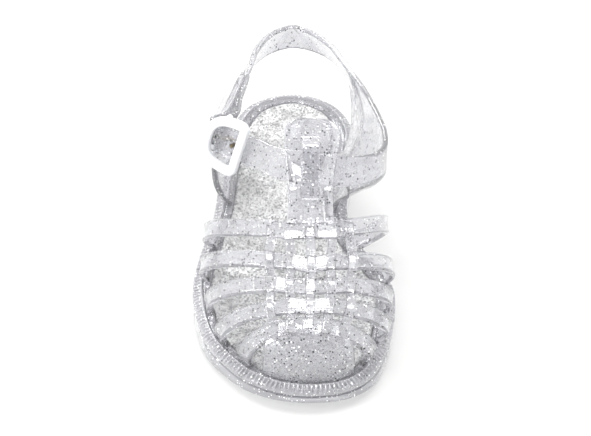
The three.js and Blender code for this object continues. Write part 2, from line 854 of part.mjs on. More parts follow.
function sole() {
  const perimeter = outline.getLength();
  const ribs = Math.round(perimeter / ribPitch);
  const below = (drop) => (y) => rimHeight(y) - drop;
  const ribbed = (inset, drop, slope) =>
    Array.from({ length: ribs * 2 }, (_, i) => {
      const depth = i % 2 ? ribDepth : 0;
      return edgePoint(i / (ribs * 2), inset + depth * slope, below(drop + depth * (1 - slope)));
    });
  const rings = [
    edgeRing(treadBevel, treadHeight),
    edgeRing(treadInset, (y) => treadHeight(y) + treadBevel / 2),
    edgeRing(0, below(baseStep)),
    edgeRing(grooveDepth, below(baseStep - grooveFlare)),
    edgeRing(grooveDepth, below(baseStep - grooveFlare - grooveWidth)),
    edgeRing(wallDraft, below(baseStep - 2 * grooveFlare - grooveWidth)),
    ribbed(wallDraft, rimDrop, 1),
    ribbed(ribBand, 0, 0),
    edgeRing(ribBand + lipWidth, below(lipDrop)),
    edgeRing(ribBand + lipWidth, below(recessDepth)),
  ];
  const blank = solid(loft(rings));
  const grooves = LUGS.flatMap(({ from, to }) => {
    const length = (to - from) * soleLength;
    const count = Math.floor(length / lugPitch);
    return Array.from({ length: count }, (_, i) => {
      const cut = new THREE.BoxGeometry(ballWidth * 2, lugGroove, lugDepth * 2);
      cut.translate(0, yAt(from) - (i + 0.5) * (length / count), 0);
      return solid(cut);
    });
  });
  return blank.subtract(joined(grooves));
}

function insole() {
  const inset = marginInset + marginWidth + gap;
  const low = (y) => rimHeight(y) - recessDepth + gap;
  const high = (y) => low(y) + insoleThickness;
  const rings = [
    edgeRing(inset, low),
    edgeRing(inset, (y) => high(y) - insoleRound),
    edgeRing(inset + 2 * insoleRound, high),
    edgeRing(inset + dishWidth, (y) => high(y) - insoleDish),
  ];
  return solid(loft(rings));
}

// A cosine or sine pushed outwards, which makes a circle of them a rounded square.
const squarish = (value) => Math.sign(value) * Math.sqrt(Math.abs(value));

// The D of the frame is one rounded bar carried round a path, straight at the front and round behind.
function buckleFrame() {
  const inset = frameBand / 2;
  const front = inset - frameLength / 2;
  const rear = frameLength / 2 - inset;
  const high = frameHeight / 2 - inset;
  const path = new THREE.Path();
  path.moveTo(front, -high + frameCorner);
  path.lineTo(front, high - frameCorner);
  path.quadraticCurveTo(front, high, front + frameCorner, high);
  path.bezierCurveTo(rear * bowReach, high, rear, high * bowHeight, rear, 0);
  path.bezierCurveTo(rear, -high * bowHeight, rear * bowReach, -high, front + frameCorner, -high);
  path.quadraticCurveTo(front, -high, front, -high + frameCorner);
  const steps = 26;
  const lift = strapThickness / 2 + gap;
  const middle = lift + frameThickness / 2;
  const rings = Array.from({ length: steps }, (_, i) => {
    const point = path.getPointAt(i / steps);
    const tangent = path.getTangentAt(i / steps);
    return Array.from({ length: 8 }, (_, k) => {
      const angle = (k / 8) * 2 * Math.PI;
      const wide = inset * squarish(Math.cos(angle));
      const thick = (frameThickness / 2) * squarish(Math.sin(angle));
      return inBuckle(point.x - tangent.y * wide, point.y + tangent.x * wide, middle + thick);
    });
  });
  const ring = solid(loft(rings, true));
  const reach = ankleStrapWidth / 2 + gap * 2 + hingeRadius;
  const legs = [-1, 1].map((sign) =>
    bar(
      inBuckle(hingeBack, sign * reach, hingeOut - hingeRadius),
      inBuckle(hingeBack, sign * reach, middle),
      legRadius,
    ),
  );
  const hinge = bar(
    inBuckle(hingeBack, -reach, hingeOut),
    inBuckle(hingeBack, reach, hingeOut),
    hingeRadius,
  );
  return joined([ring, ...legs, hinge]);
}

function buckleProng() {
  const radius = prongWire / 2;
  const turn = hingeRadius + gap + radius;
  const at = (back, out) => inBuckle(back, 0, out);
  const wire = [
    at(hingeBack - turn, hingeOut - prongSag),
    at(prongBack + prongBend, hingeOut + prongSag),
    at(prongBack, hingeOut + prongBend + prongSag),
    at(prongBack, strapThickness / 2 + gap + prongReach),
  ];
  const curve = new THREE.CatmullRomCurve3(wire, false, "centripetal");
  const rings = Array.from({ length: 8 }, (_, i) => {
    const p = curve.getPoint(i / 7);
    const tangent = curve.getTangent(i / 7);
    const other = tangent.clone().cross(buckle.up).normalize();
    return Array.from({ length: 8 }, (_, k) => {
      const angle = (k / 8) * 2 * Math.PI;
      return p
        .clone()
        .addScaledVector(buckle.up, radius * Math.cos(angle))
        .addScaledVector(other, radius * Math.sin(angle));
    });
  });
  const ring = new THREE.TorusGeometry(turn, radius, 6, 12);
  ring.translate(hingeBack, hingeOut, 0);
  ring.applyMatrix4(buckle.place);
  return joined([solid(loft(rings)), solid(ring)]);
}

const clearPvc = { color: 0xd9dade, roughness: 0.22, metalness: 0, transparent: true, opacity: 0.55 };
const sandal = new THREE.Group();
sandal.name = "jelly sandal";
sandal.add(
  mesh("sole", sole(), clearPvc),
  mesh("insole", insole(), { color: 0xe4e4e2, roughness: 0.35, metalness: 0.1 }),
  mesh("upper", upper(), clearPvc),
  mesh("buckle_frame", buckleFrame(), { color: 0xeef2fa, roughness: 0.3, metalness: 0 }),
  mesh("buckle_prong", buckleProng(), { color: 0x877a60, roughness: 0.35, metalness: 1 }),
);

// The origin is on the ground, in the middle of the footprint's box.
const footprint = new THREE.Box3().setFromObject(sandal);
const centre = footprint.getCenter(new THREE.Vector3());
sandal.position.set(-centre.x, -centre.y, -footprint.min.z);

export default sandal;
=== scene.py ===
"""A toddler's jelly sandal for the right foot, in clear glitter PVC, dressed over its CAD solids.

Shapes are worked out in millimetres in the shoe's own frame: the toe points to -Y, the arch side to +X and
the sole stands on z = 0. place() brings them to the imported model's frame, in metres.
"""

import math

import bpy
import numpy as np
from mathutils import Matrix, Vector


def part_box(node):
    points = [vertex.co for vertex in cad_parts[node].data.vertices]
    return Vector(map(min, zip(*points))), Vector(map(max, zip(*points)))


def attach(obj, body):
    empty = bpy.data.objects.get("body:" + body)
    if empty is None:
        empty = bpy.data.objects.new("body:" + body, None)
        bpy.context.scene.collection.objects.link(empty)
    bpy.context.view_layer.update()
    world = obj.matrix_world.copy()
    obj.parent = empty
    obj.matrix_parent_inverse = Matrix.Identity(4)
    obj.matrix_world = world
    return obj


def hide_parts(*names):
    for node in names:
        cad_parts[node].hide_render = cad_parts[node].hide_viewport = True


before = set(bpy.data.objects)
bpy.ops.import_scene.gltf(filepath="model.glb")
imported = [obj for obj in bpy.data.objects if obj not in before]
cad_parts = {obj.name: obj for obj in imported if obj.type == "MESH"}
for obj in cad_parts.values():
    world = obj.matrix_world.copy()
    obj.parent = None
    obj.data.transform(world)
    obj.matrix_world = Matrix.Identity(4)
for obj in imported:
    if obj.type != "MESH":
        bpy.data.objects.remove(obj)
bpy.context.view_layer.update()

MM_PER_M = 1000

# Driving sizes, in mm
SOLE_LENGTH = 145
BALL_WIDTH = 63.5
HEEL_HEIGHT = 14
INSTEP_HEIGHT = 54.5
ANKLE_HEIGHT = 41

# The sole's edge
BASE_STEP = 3.4
GROOVE_DEPTH = 0.9
GROOVE_WIDTH = 0.5
RIB_PITCH = 1.45
RIB_DEPTH = 1.4
RIB_BAND = 2.6
RIB_CONTRAST = 1.5
RIB_LEAN = 0.8
CREST_POWER = 1.8
EDGE_ROUND = 0.1
RIM_DROP = 1.4
LIP_WIDTH = 0.4
TREAD_BEVEL = 1
TREAD_RING = 6
RECESS_DEPTH = 2.9
LUG_DEPTH = 1.2
LUG_GROOVE = 2
LUG_PITCH = 7
LUGS = ((0.1, 0.24), (0.62, 0.84))

# The margin that carries the straps, and the footbed inside it
GAP = 0.3
MARGIN_WIDTH = 2.3
MARGIN_HEIGHT = 2.2
MARGIN_SQUARE = 0.4
MARGIN_INSET = RIB_BAND + LIP_WIDTH + GAP
ROOT_INSET = MARGIN_INSET + MARGIN_WIDTH / 2
ROOT_LIFT = 0.7
FOOTBED_THICKNESS = 2
FOOTBED_DISH = 0.5

# Straps
STRAP_THICKNESS = 1.8
EDGE_EASE = 0.75
RIDGE_WIDTH = 0.16
STRAP_BEAD = 0.12
T_BAR_BEAD = 0.15
VAMP_STRAP_WIDTH = 6
STRIP_WIDTH = 3
STRIP_PITCH = 6.1
WEAVE_RISE = 1.15
STRIP_CLOSING = (1, 1, 1, 0.96, 0.86)
STRAP_DIP = 0.3
STRIP_OVERRUN = 0.55
RAIL_INSET = 0.1
RAIL_LIFT = 0.9
RAIL_SUNK = 0.1
FLARE_REACH = 0.1
CROWN_LOSS = 0.24
SHOULDER_DROP = 0.05
ANKLE_STRAP_WIDTH = 10
HEEL_BAND_WIDTH = 9.4
ANKLE_BEAD = 0.14
TIP_ROUND = 4
TIP_THICKNESS = 0.45
TIP_THINNING = 14
TOE_BAND_WIDTH = 26
TOE_RISE = 0.62
TOE_BULGE = 0.06
TOE_REACH = 0.42
TOE_DROP = 0.08
TOE_CLOSING = 0.92
WEB_THICKNESS = 1.8
WEB_EDGE = 0.7
KEEPER_WIDTH = 5.8
KEEPER_RAMP = 3.2
KEEPER_AT = 0.584
STRAP_HOLE = 2.4
HOLE_PITCH = 6

# The quarters: how far up their foot bends in and how much it stands out, the same for their top, how far
# they lap the band and how far their rear edge leans forward before it runs into the band.
LOW_RISE = 0.22
LOW_BULGE = 1.2
HIGH_FALL = 0.2
HIGH_BULGE = 0.3
HEM_LAP = 1
REAR_SWEEP = 9

# The buckle
FRAME_LENGTH = 14
FRAME_HEIGHT = 18.6
FRAME_BAND = 2.9
FRAME_THICKNESS = 2.6
FRAME_SQUARE = 0.55
FRAME_CORNER = 1.6
BOW_REACH = 0.75
BOW_HEIGHT = 0.55
HINGE_RADIUS = 0.7
LEG_RADIUS = HINGE_RADIUS * 1.2
EYE_WALL = 1
EYE_WIDTH = ANKLE_STRAP_WIDTH - 1
PRONG_WIRE = 1.3
PRONG_SAG = 0.1
PRONG_BEND = 0.9
PRONG_RISE = 1.2
PRONG_REACH = 0.55
PRONG_TIP = 0.06
HOLE_CLEARANCE = 0.2
BUCKLE_LEAN = math.radians(17)
BUCKLE_ROLL = math.radians(11)
# How the run round the ankle leaves the hinge and passes the frame: back and out from each, in mm.
EYE_RUN = ((0, 0), (2.8, -0.5))
THROUGH = ((-FRAME_LENGTH / 2 - 1, 0), (0, 0), (4.4, -0.1), (6.6, -1.4))

# The edge of the sole from above, round from the heel by the arch and the toe: share of SOLE_LENGTH
# from the heel, and share of BALL_WIDTH towards the arch.
OUTLINE = np.array([
    (0, 0.008), (0.043, 0.215), (0.142, 0.318), (0.259, 0.305), (0.411, 0.277), (0.5, 0.307),
    (0.577, 0.41), (0.656, 0.494), (0.715, 0.503), (0.756, 0.493), (0.845, 0.46), (0.934, 0.384),
    (0.983, 0.268), (1, 0.118), (0.992, -0.047), (0.955, -0.202), (0.899, -0.32), (0.829, -0.417),
    (0.721, -0.477), (0.651, -0.486), (0.577, -0.465), (0.514, -0.434), (0.425, -0.392),
    (0.328, -0.375), (0.232, -0.356), (0.116, -0.309), (0.035, -0.203),
])

# The sole from the side, as shares of HEEL_HEIGHT at shares of SOLE_LENGTH.
RIM = [
    (0, 1.02), (0.055, 1.01), (0.28, 0.95), (0.341, 0.92), (0.463, 0.81), (0.566, 0.71),
    (0.617, 0.66), (0.8, 0.57), (0.923, 0.57), (1, 0.63),
]
TREAD = [
    (0, 0.05), (0.055, 0), (0.28, 0), (0.341, 0.12), (0.463, 0.16), (0.566, 0.06),
    (0.617, 0), (0.8, 0), (0.923, 0.07), (1, 0.22),
]

# The crown of the last from the top of the T-bar to the toe: share of INSTEP_HEIGHT, then of BALL_WIDTH.
CROWN_RISE = [
    (0.494, 1), (0.535, 0.934), (0.583, 0.828), (0.635, 0.717), (0.687, 0.622), (0.735, 0.569),
    (0.797, 0.51), (0.852, 0.459), (0.897, 0.415), (0.935, 0.367),
]
CROWN_SIDE = [
    (0.494, 0.1), (0.535, 0.094), (0.583, 0.088), (0.635, 0.087), (0.687, 0.088), (0.735, 0.09),
    (0.852, 0.087), (0.897, 0.079), (0.935, 0.075),
]

# The five cross straps from the instep to the toe: where each crosses the crown, how square it stands to
# the shoe's length at its roots, how far back its shoulders lie on the way to the roots and, for the arch
# side and the outer side, its root as a share of the length, its flare, the flare's lift and its
# shoulder's breadth.
CROSS_STRAPS = [
    (0.694, 1, 0.2, (0.53, 0.405, 0.15, 0.33), (0.53, 0.165, 0.26, 0.37)),
    (0.768, 0.7, 0.35, (0.64, 0.155, 0.12, 0.38), (0.628, 0.09, 0.26, 0.4)),
    (0.82, 0.5, 0.45, (0.745, 0.11, 0.2, 0.35), (0.741, 0.02, 0.26, 0.39)),
    (0.863, 0.2, 0.45, (0.831, 0.15, 0.2, 0.28), (0.85, 0.05, 0.26, 0.33)),
    (0.902, 0, 0.45, (0.907, 0.09, 0.26, 0.2), (0.925, 0.03, 0.26, 0.25)),
]

# The T-bar's plate up the crown, and its width as a share of BALL_WIDTH.
T_BAR = [
    (0.708, 0.27), (0.688, 0.25), (0.662, 0.22), (0.627, 0.215), (0.586, 0.235), (0.545, 0.26),
    (0.518, 0.262), (0.506, 0.245), (0.498, 0.195), (0.494, 0.13),
]
# Where the two raised rails of the weave end on the T-bar's plate, from the bottom up.
RAILS = (0.672, 0.645, 0.622, 0.61)

# The run round the ankle: share of the length, share of BALL_WIDTH, share of ANKLE_HEIGHT, and how far
# the top tips in over the foot, in degrees.
HEEL_BAND = [
    (0.388, -0.3, 1.01, 22), (0.321, -0.291, 1.005, 28), (0.259, -0.268, 1.005, 33),
    (0.195, -0.236, 1, 31), (0.127, -0.196, 0.995, 24), (0.065, -0.108, 0.985, 14),
    (0.039, 0.005, 0.98, 9), (0.061, 0.112, 0.985, 18), (0.108, 0.203, 0.995, 24),
    (0.167, 0.262, 1, 20), (0.224, 0.306, 1.005, 12), (0.28, 0.343, 1.005, -3),
    (0.336, 0.378, 1, -13), (0.397, 0.42, 0.998, -12),
]
ANKLE_STRAP = [
    (0.453, 0.448, 0.995, -6), (0.507, 0.447, 1, 0), (0.542, 0.405, 1.017, 2),
    (0.56, 0.35, 1.037, 5), (0.578, 0.28, 1.065, 14), (0.589, 0.2, 1.1, 32),
]
ANKLE_STRAP_END = [(0.573, -0.02, 1.11, 34), (0.542, -0.1, 1.075, 20), (0.511, -0.16, 1.053, 14)]
TAIL = [
    (0.405, -0.362, 1.05, 22), (0.351, -0.34, 1.035, 28), (0.29, -0.316, 1.025, 33),
    (0.25, -0.294, 1.02, 33), (0.215, -0.27, 1.01, 31),
]
# The run has no bead for this many rows on either side of this one, where the arch side's quarter meets it.
BEADLESS_ROW, BEADLESS_REACH = 16.5, 4

# The quarters: side, root's rear and front, top's rear and front along the band, and bulge.
QUARTERS = [(1, 0.25, 0.423, 0.5, 0.965, 0.06), (-1, 0.198, 0.405, 0.21, 0.02, 0.1)]

UP = np.array([0.0, 0.0, 1.0])
ACROSS = np.array([1.0, 0.0, 0.0])
FORE = np.array([0.0, 1.0, 0.0])


def unit(vectors):
    """Each vector divided by its own length."""
    vectors = np.asarray(vectors, float)
    return vectors / np.linalg.norm(vectors, axis=-1, keepdims=True)


def read_column(rows, at):
    """A curve through (at, value) rows that never swings past them: a cubic on each stretch, whose slope
    at a row is the harmonic mean of the two stretches' slopes, or level where they turn."""
    x, y = np.array(sorted(rows), float).T
    slope = np.diff(y) / np.diff(x)
    product = slope[:-1] * slope[1:]
    inner = np.where(product > 0, 2 * product / np.where(product > 0, slope[:-1] + slope[1:], 1), 0)
    tangent = np.concatenate([slope[:1], inner, slope[-1:]])
    at = np.clip(at, x[0], x[-1])
    i = np.clip(np.searchsorted(x, at, side="right") - 1, 0, len(x) - 2)
    width = x[i + 1] - x[i]
    t = (at - x[i]) / width
    bend = (t * (1 - t) ** 2 * tangent[i] + t * t * (t - 1) * tangent[i + 1]) * width
    return y[i] + bend + (y[i + 1] - y[i]) * t * t * (3 - 2 * t)


def spline(points, t, closed=False):
    """The centripetal Catmull-Rom curve through points, read at shares t of its rows: on each stretch a
    cubic whose end slopes come from its neighbours, weighted by the square roots of their distances."""
    points = np.asarray(points, float)
    count = len(points)
    if closed:
        around = np.vstack([points[-1:], points, points[:2]])
        stretches = count
    else:
        around = np.vstack([2 * points[:1] - points[1:2], points, 2 * points[-1:] - points[-2:-1]])
        stretches = count - 1
    place_on = np.asarray(t, float) * stretches
    i = np.clip(np.floor(place_on).astype(int), 0, stretches - 1)
    w = (place_on - i)[..., None]
    p0, p1, p2, p3 = (around[i + k] for k in range(4))
    d0, d1, d2 = (
        np.sqrt(np.maximum(np.linalg.norm(b - a, axis=-1, keepdims=True), 1e-6))
        for a, b in ((p0, p1), (p1, p2), (p2, p3))
    )
    leave = ((p1 - p0) / d0 - (p2 - p0) / (d0 + d1) + (p2 - p1) / d1) * d1
    arrive = ((p2 - p1) / d1 - (p3 - p1) / (d1 + d2) + (p3 - p2) / d2) * d1
    return (
        p1
        + leave * w
        + (3 * (p2 - p1) - 2 * leave - arrive) * w**2
        + (2 * (p1 - p2) + leave + arrive) * w**3
    )


def bezier(p0, p1, p2, p3, t):
    """The cubic Bezier curve of four points, read at shares t."""
    t = np.asarray(t, float)[..., None]
    return (1 - t) ** 3 * p0 + 3 * (1 - t) ** 2 * t * p1 + 3 * (1 - t) * t * t * p2 + t**3 * p3


def y_at(share):
    """The y of a share of the length, counted from the heel."""
    return (0.5 - np.asarray(share, float)) * SOLE_LENGTH


def share_at(y):
    """The share of the length, counted from the heel, that y stands at."""
    return 0.5 - np.asarray(y, float) / SOLE_LENGTH


def rim_height(y):
    """The height of the rim's top at y: its share from the table, times the heel's height."""
    return read_column(RIM, share_at(y)) * HEEL_HEIGHT


def tread_height(y):
    """The height of the underside at y: its share from the table, times the heel's height."""
    return read_column(TREAD, share_at(y)) * HEEL_HEIGHT


def bed_height(y):
    """The height at which the margin and the footbed lie in the recess, a gap above its floor."""
    return rim_height(y) - RECESS_DEPTH + GAP


# The sole's edge as a fine walk with its length so far, from which any share of the way round is read.
walk = spline(
    np.column_stack([OUTLINE[:, 1] * BALL_WIDTH, y_at(OUTLINE[:, 0]), np.zeros(len(OUTLINE))]),
    np.linspace(0, 1, 6001),
    closed=True,
)[:, :2]
walked = np.concatenate([[0], np.cumsum(np.linalg.norm(np.diff(walk, axis=0), axis=1))])
walk_way = unit(np.gradient(walk, axis=0))
walk_share = walked / walked[-1]
PERIMETER = walked[-1]


def edge(u, inset=0.0, height=None, lift=0.0):
    """Points at shares u of the way round the sole's edge, moved inwards by inset, at height(y) and lift."""
    u = np.mod(u, 1)
    x, y = (np.interp(u, walk_share, walk[:, k]) for k in (0, 1))
    way_x, way_y = (np.interp(u, walk_share, walk_way[:, k]) for k in (0, 1))
    x = x + way_y * inset
    y = y - way_x * inset
    return np.stack([x, y, np.zeros_like(x) if height is None else height(y) + lift], axis=-1)


def edge_way(u):
    """The direction along the sole's edge at shares u, heel to toe on the arch side."""
    return unit(np.stack([*(np.interp(u, walk_share, walk_way[:, k]) for k in (0, 1)), 0 * u], -1))


def edge_share(at, sign):
    """How far round the edge one side stands at a share of the length."""
    shares = share_at(walk[:, 1])
    chosen = walk_share < 0.48 if sign > 0 else walk_share > 0.52
    order = np.argsort(shares[chosen])
    return np.interp(at, shares[chosen][order], walk_share[chosen][order])


def crown(at):
    """Points of the crown with the directions up along it and out of the foot."""

    def point(share):
        side = read_column(CROWN_SIDE, share) * BALL_WIDTH
        rise = read_column(CROWN_RISE, share) * INSTEP_HEIGHT
        return np.stack([side, y_at(share), rise], -1)

    at = np.asarray(at, float)
    step = 0.004
    ahead = point(np.minimum(at + step, CROWN_RISE[-1][0]))
    behind = point(np.maximum(at - step, CROWN_RISE[0][0]))
    up = unit(behind - ahead)
    return point(at), up, unit(np.cross(up, -ACROSS))


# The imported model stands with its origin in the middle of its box, and the sole's own edge says where that is.
sole_low, sole_high = (np.array(corner) * MM_PER_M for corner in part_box("sole"))
SHIFT = np.array([
    (sole_low[0] + sole_high[0] - walk[:, 0].min() - walk[:, 0].max()) / 2,
    (sole_low[1] + sole_high[1] - walk[:, 1].min() - walk[:, 1].max()) / 2,
    0,
])


def place(points):
    """Millimetres in the shoe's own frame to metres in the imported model's frame."""
    return (np.asarray(points, float) + SHIFT) / MM_PER_M


def build(name, points, faces):
    """A mesh object from points in mm and faces, turned outside out by the sign of its volume."""
    faces = np.asarray(faces)
    corners = points[faces]
    fans = corners[:, 1:-1], corners[:, 2:]
    first = corners[:, :1]
    volume = np.einsum("ijk,ijk->", np.broadcast_to(first, fans[0].shape), np.cross(*fans))
    if volume < 0:
        faces = faces[:, ::-1]
    mesh = bpy.data.meshes.new(name)
    mesh.from_pydata(place(points).tolist(), [], faces.tolist())
    mesh.update()
    mesh.validate()
    made = bpy.data.objects.new(name, mesh)
    bpy.context.scene.collection.objects.link(made)
    return made


def skin(name, rings, loop=False):
    """The closed surface over a grid of rings: quads between each ring and the next. A loop joins its last
    ring to its first, and otherwise rungs across the first and last rings close both ends."""
    rings = np.asarray(rings, float)
    n, m = rings.shape[:2]
    i, j = np.meshgrid(np.arange(n if loop else n - 1), np.arange(m), indexing="ij")
    k, l = (i + 1) % n, (j + 1) % m
    faces = np.stack([i * m + j, i * m + l, k * m + l, k * m + j], -1).reshape(-1, 4)
    if not loop:
        a = np.arange(m // 2 - 1)
        rungs = np.stack([a, m - 1 - a, m - 2 - a, a + 1], -1)
        faces = np.vstack([faces, rungs, (n - 1) * m + rungs[:, ::-1]])
    return build(name, rings.reshape(-1, 3), faces)


def bar_section(corner=6, flat=8):
    """The unit section of a flat bar with rounded edges and a ridge along each: its side, corner, level and
    ridge shares for each point, from the middle of one edge over the top to the other and back below."""
    turn = np.linspace(0, math.pi / 2, corner)
    across = np.linspace(1, -1, flat + 2)[1:-1]
    side = np.concatenate([np.ones(corner), across, -np.ones(corner)])
    round_off = np.concatenate([np.cos(turn), np.zeros(flat), -np.cos(turn[::-1])])
    level = np.concatenate([np.sin(turn), np.ones(flat), np.sin(turn[::-1])])
    ridge = np.exp(-(((1 - np.abs(side)) / RIDGE_WIDTH) ** 2)) * level
    return (
        np.concatenate([side, side[::-1]]),
        np.concatenate([round_off, round_off[::-1]]),
        np.concatenate([level, -level[::-1]]),
        np.concatenate([ridge, -ridge[::-1]]),
    )


def strap(name, path, across, width, thickness=STRAP_THICKNESS, bead=STRAP_BEAD):
    """A flat bar carried along a path: at each station the section lies in the plane of the across
    direction, made square to the run, and of run x across."""
    path = np.asarray(path, float)
    run = unit(np.gradient(path, axis=0))
    across = np.broadcast_to(across, path.shape)
    across = unit(across - run * np.sum(run * across, -1, keepdims=True))
    out = np.cross(run, across)
    side, corner, level, ridge = bar_section()
    half = np.broadcast_to(np.asarray(width, float) / 2, len(path))[:, None]
    thick = np.broadcast_to(np.asarray(thickness, float) / 2, len(path))[:, None]
    ease = np.minimum(thick, half) * EDGE_EASE
    wide = side * (half - ease) + corner * ease
    high = level * thick + ridge * np.broadcast_to(bead, len(path))[:, None]
    rings = path[:, None] + across[:, None] * wide[..., None] + out[:, None] * high[..., None]
    return skin(name, rings)


def rod(name, path, radius, side, sides, loop=False):
    """A round bar along a path, its section turned from one side direction."""
    path = np.asarray(path, float)
    run = unit(np.roll(path, -1, 0) - np.roll(path, 1, 0) if loop else np.gradient(path, axis=0))
    across = np.broadcast_to(side, path.shape)
    across = unit(across - run * np.sum(run * across, -1, keepdims=True))
    other = np.cross(run, across)
    angle = (np.arange(sides) + 0.5) / sides * 2 * math.pi
    radius = np.broadcast_to(np.asarray(radius, float), len(path))[:, None, None]
    rings = path[:, None] + radius * (
        across[:, None] * np.cos(angle)[:, None] + other[:, None] * np.sin(angle)[:, None]
    )
    return skin(name, rings, loop)


def plate(name, grid, thickness):
    """A wall of even thickness through a grid of points: each row becomes a ring that runs out along the
    outer face, round the edge, back along the inner face and round the other edge."""
    along = np.gradient(grid, axis=0)
    cross = np.gradient(grid, axis=1)
    normal = unit(np.cross(along, cross))
    half = thickness / 2
    turn = np.linspace(0, math.pi, 7)[1:-1]

    def end(column, sign):
        outwards = unit(sign * cross[:, column])
        return (
            grid[:, column, None]
            + half * WEB_EDGE * outwards[:, None] * np.sin(turn)[:, None]
            + half * normal[:, column, None] * np.cos(turn)[:, None]
        )

    outer = grid + half * normal
    inner = grid - half * normal
    last = end(-1, 1)
    first = end(0, -1)[:, ::-1]
    middle = len(turn) // 2
    rings = np.concatenate([first[:, middle:], outer, last, inner[:, ::-1], first[:, :middle]], axis=1)
    if rings.shape[1] % 2:
        rings = np.concatenate([rings, (rings[:, -1:] + rings[:, :1]) / 2], axis=1)
    return skin(name, rings)


def unite(name, pieces, cutters=()):
    """One closed mesh: the union of all pieces less the cutters."""
    body = pieces[0]
    body.name = name
    for operation, others in (("UNION", pieces[1:]), ("DIFFERENCE", cutters)):
        for other in others:
            step = body.modifiers.new("join", "BOOLEAN")
            step.operation = operation
            step.solver = "MANIFOLD"
            step.object = other
    bpy.context.view_layer.update()
    depsgraph = bpy.context.evaluated_depsgraph_get()
    mesh = bpy.data.meshes.new_from_object(body.evaluated_get(depsgraph))
    body.modifiers.clear()
    body.data = mesh
    mesh.name = name
    for other in [*pieces[1:], *cutters]:
        bpy.data.objects.remove(other)
    return body


def strap_half(row, sign):
    """One half of a cross strap: a cubic from its root in the margin, out by its flare, in over its
    shoulder and level onto the crown. Its width runs along the margin at the root, then squarer to the
    shoe, and up the crown at the top."""
    at, square, lag, arch, outer = row
    root_at, flare, lift, shoulder = arch if sign > 0 else outer
    u = edge_share(root_at, sign)
    root = edge(u, ROOT_INSET, rim_height)
    way = edge_way(u)
    outward = np.array([-way[1], way[0], 0])
    top, up, _ = crown(at)
    start = root + ROOT_LIFT * UP
    height = top[2] - start[2]
    flared = start + outward * flare * BALL_WIDTH + UP * lift * height
    over = np.array([
        top[0] + sign * shoulder * BALL_WIDTH,
        top[1] + lag * (start[1] - top[1]),
        top[2] - SHOULDER_DROP * height,
    ])
    seated = -sign * way
    squared = unit(square * FORE + (1 - square) * seated)
    return root, (start, flared, over, top), (seated, squared, up)


def cross_strap(index):
    """A cross strap from one root over the crown to the other. It dips under each strip of the weave that
    passes over it and rises over the next, by a cosine of the strips' pitch."""
    row = CROSS_STRAPS[index]
    stations = 56
    t = np.linspace(0, 1, stations)
    halves = []
    for sign in (-1, 1):
        root, points, (seated, squared, up) = strap_half(row, sign)
        path = bezier(*points, t)
        soon = np.clip(3 * t, 0, 1)[:, None]
        low = unit(seated + soon * (squared - seated))
        turned = unit(low + t[:, None] * (up - low))
        foot = root - UP * MARGIN_HEIGHT / 2
        halves.append((np.vstack([foot, path]), np.vstack([seated, turned])))
    path = np.vstack([halves[0][0], halves[1][0][::-1][1:]])
    across = np.vstack([halves[0][1], halves[1][1][::-1][1:]])
    top, up, out = crown(row[0])
    offset = (path[:, 0] - top[0]) / STRIP_PITCH
    fade = np.clip(3 - np.abs(offset), 0, 1)
    wave = np.cos(math.pi * offset) * fade * (1 if index % 2 == 0 else -1)
    path = path + out * (STRAP_DIP * wave)[:, None]
    narrowed = 1 + FLARE_REACH - CROWN_LOSS * (t - FLARE_REACH)
    flared = np.concatenate([[1], np.where(t < FLARE_REACH, 1 + t, narrowed)])
    width = VAMP_STRAP_WIDTH * np.concatenate([flared, flared[::-1][1:]])
    return strap(f"cross_{index}", path, across, width)


def on_strap(row, offset):
    """A cross strap's point at a distance off the crown, and the direction out of the foot there."""
    _, points, (_, _, up) = strap_half(row, -1 if offset < 0 else 1)
    t = np.linspace(0.3, 1, 400)
    path = bezier(*points, t)
    away = np.abs(path[:, 0] - points[3][0])
    nearest = int(np.argmin(np.abs(away - abs(offset))))
    way = path[min(nearest + 1, len(t) - 1)] - path[max(nearest - 1, 0)]
    out = unit(np.cross(up, way))
    return path[nearest], out if out[2] > 0 else -out


def weave_strip(index):
    """A long strip of the weave: a spline over every second cross strap and under the others. Two of the
    five go on up the T-bar's plate as its rails."""
    offset = (index - 2) * STRIP_PITCH
    over = index % 2 == 1
    points = []
    for i, row in enumerate(CROSS_STRAPS):
        p, out = on_strap(row, offset * STRIP_CLOSING[i])
        points.append(p + out * (WEAVE_RISE if (i % 2 == 0) == over else -WEAVE_RISE))
    last = unit(points[-1] - points[-2]) * VAMP_STRAP_WIDTH * STRIP_OVERRUN
    points.append(points[-1] + last)
    if over:
        for at in RAILS:
            p, _, out = crown(at)
            side = read_column(T_BAR, at) * BALL_WIDTH / 2 - STRIP_WIDTH / 2 - RAIL_INSET
            lift = RAIL_LIFT if at > RAILS[-1] else RAIL_SUNK
            points.insert(0, p + ACROSS * math.copysign(side, offset) + out * lift)
    else:
        first = unit(points[0] - points[1]) * VAMP_STRAP_WIDTH / 3
        points.insert(0, points[0] + first)
    path = spline(points, np.linspace(0, 1, 90))
    return strap(f"strip_{index}", path, ACROSS, STRIP_WIDTH, bead=0)


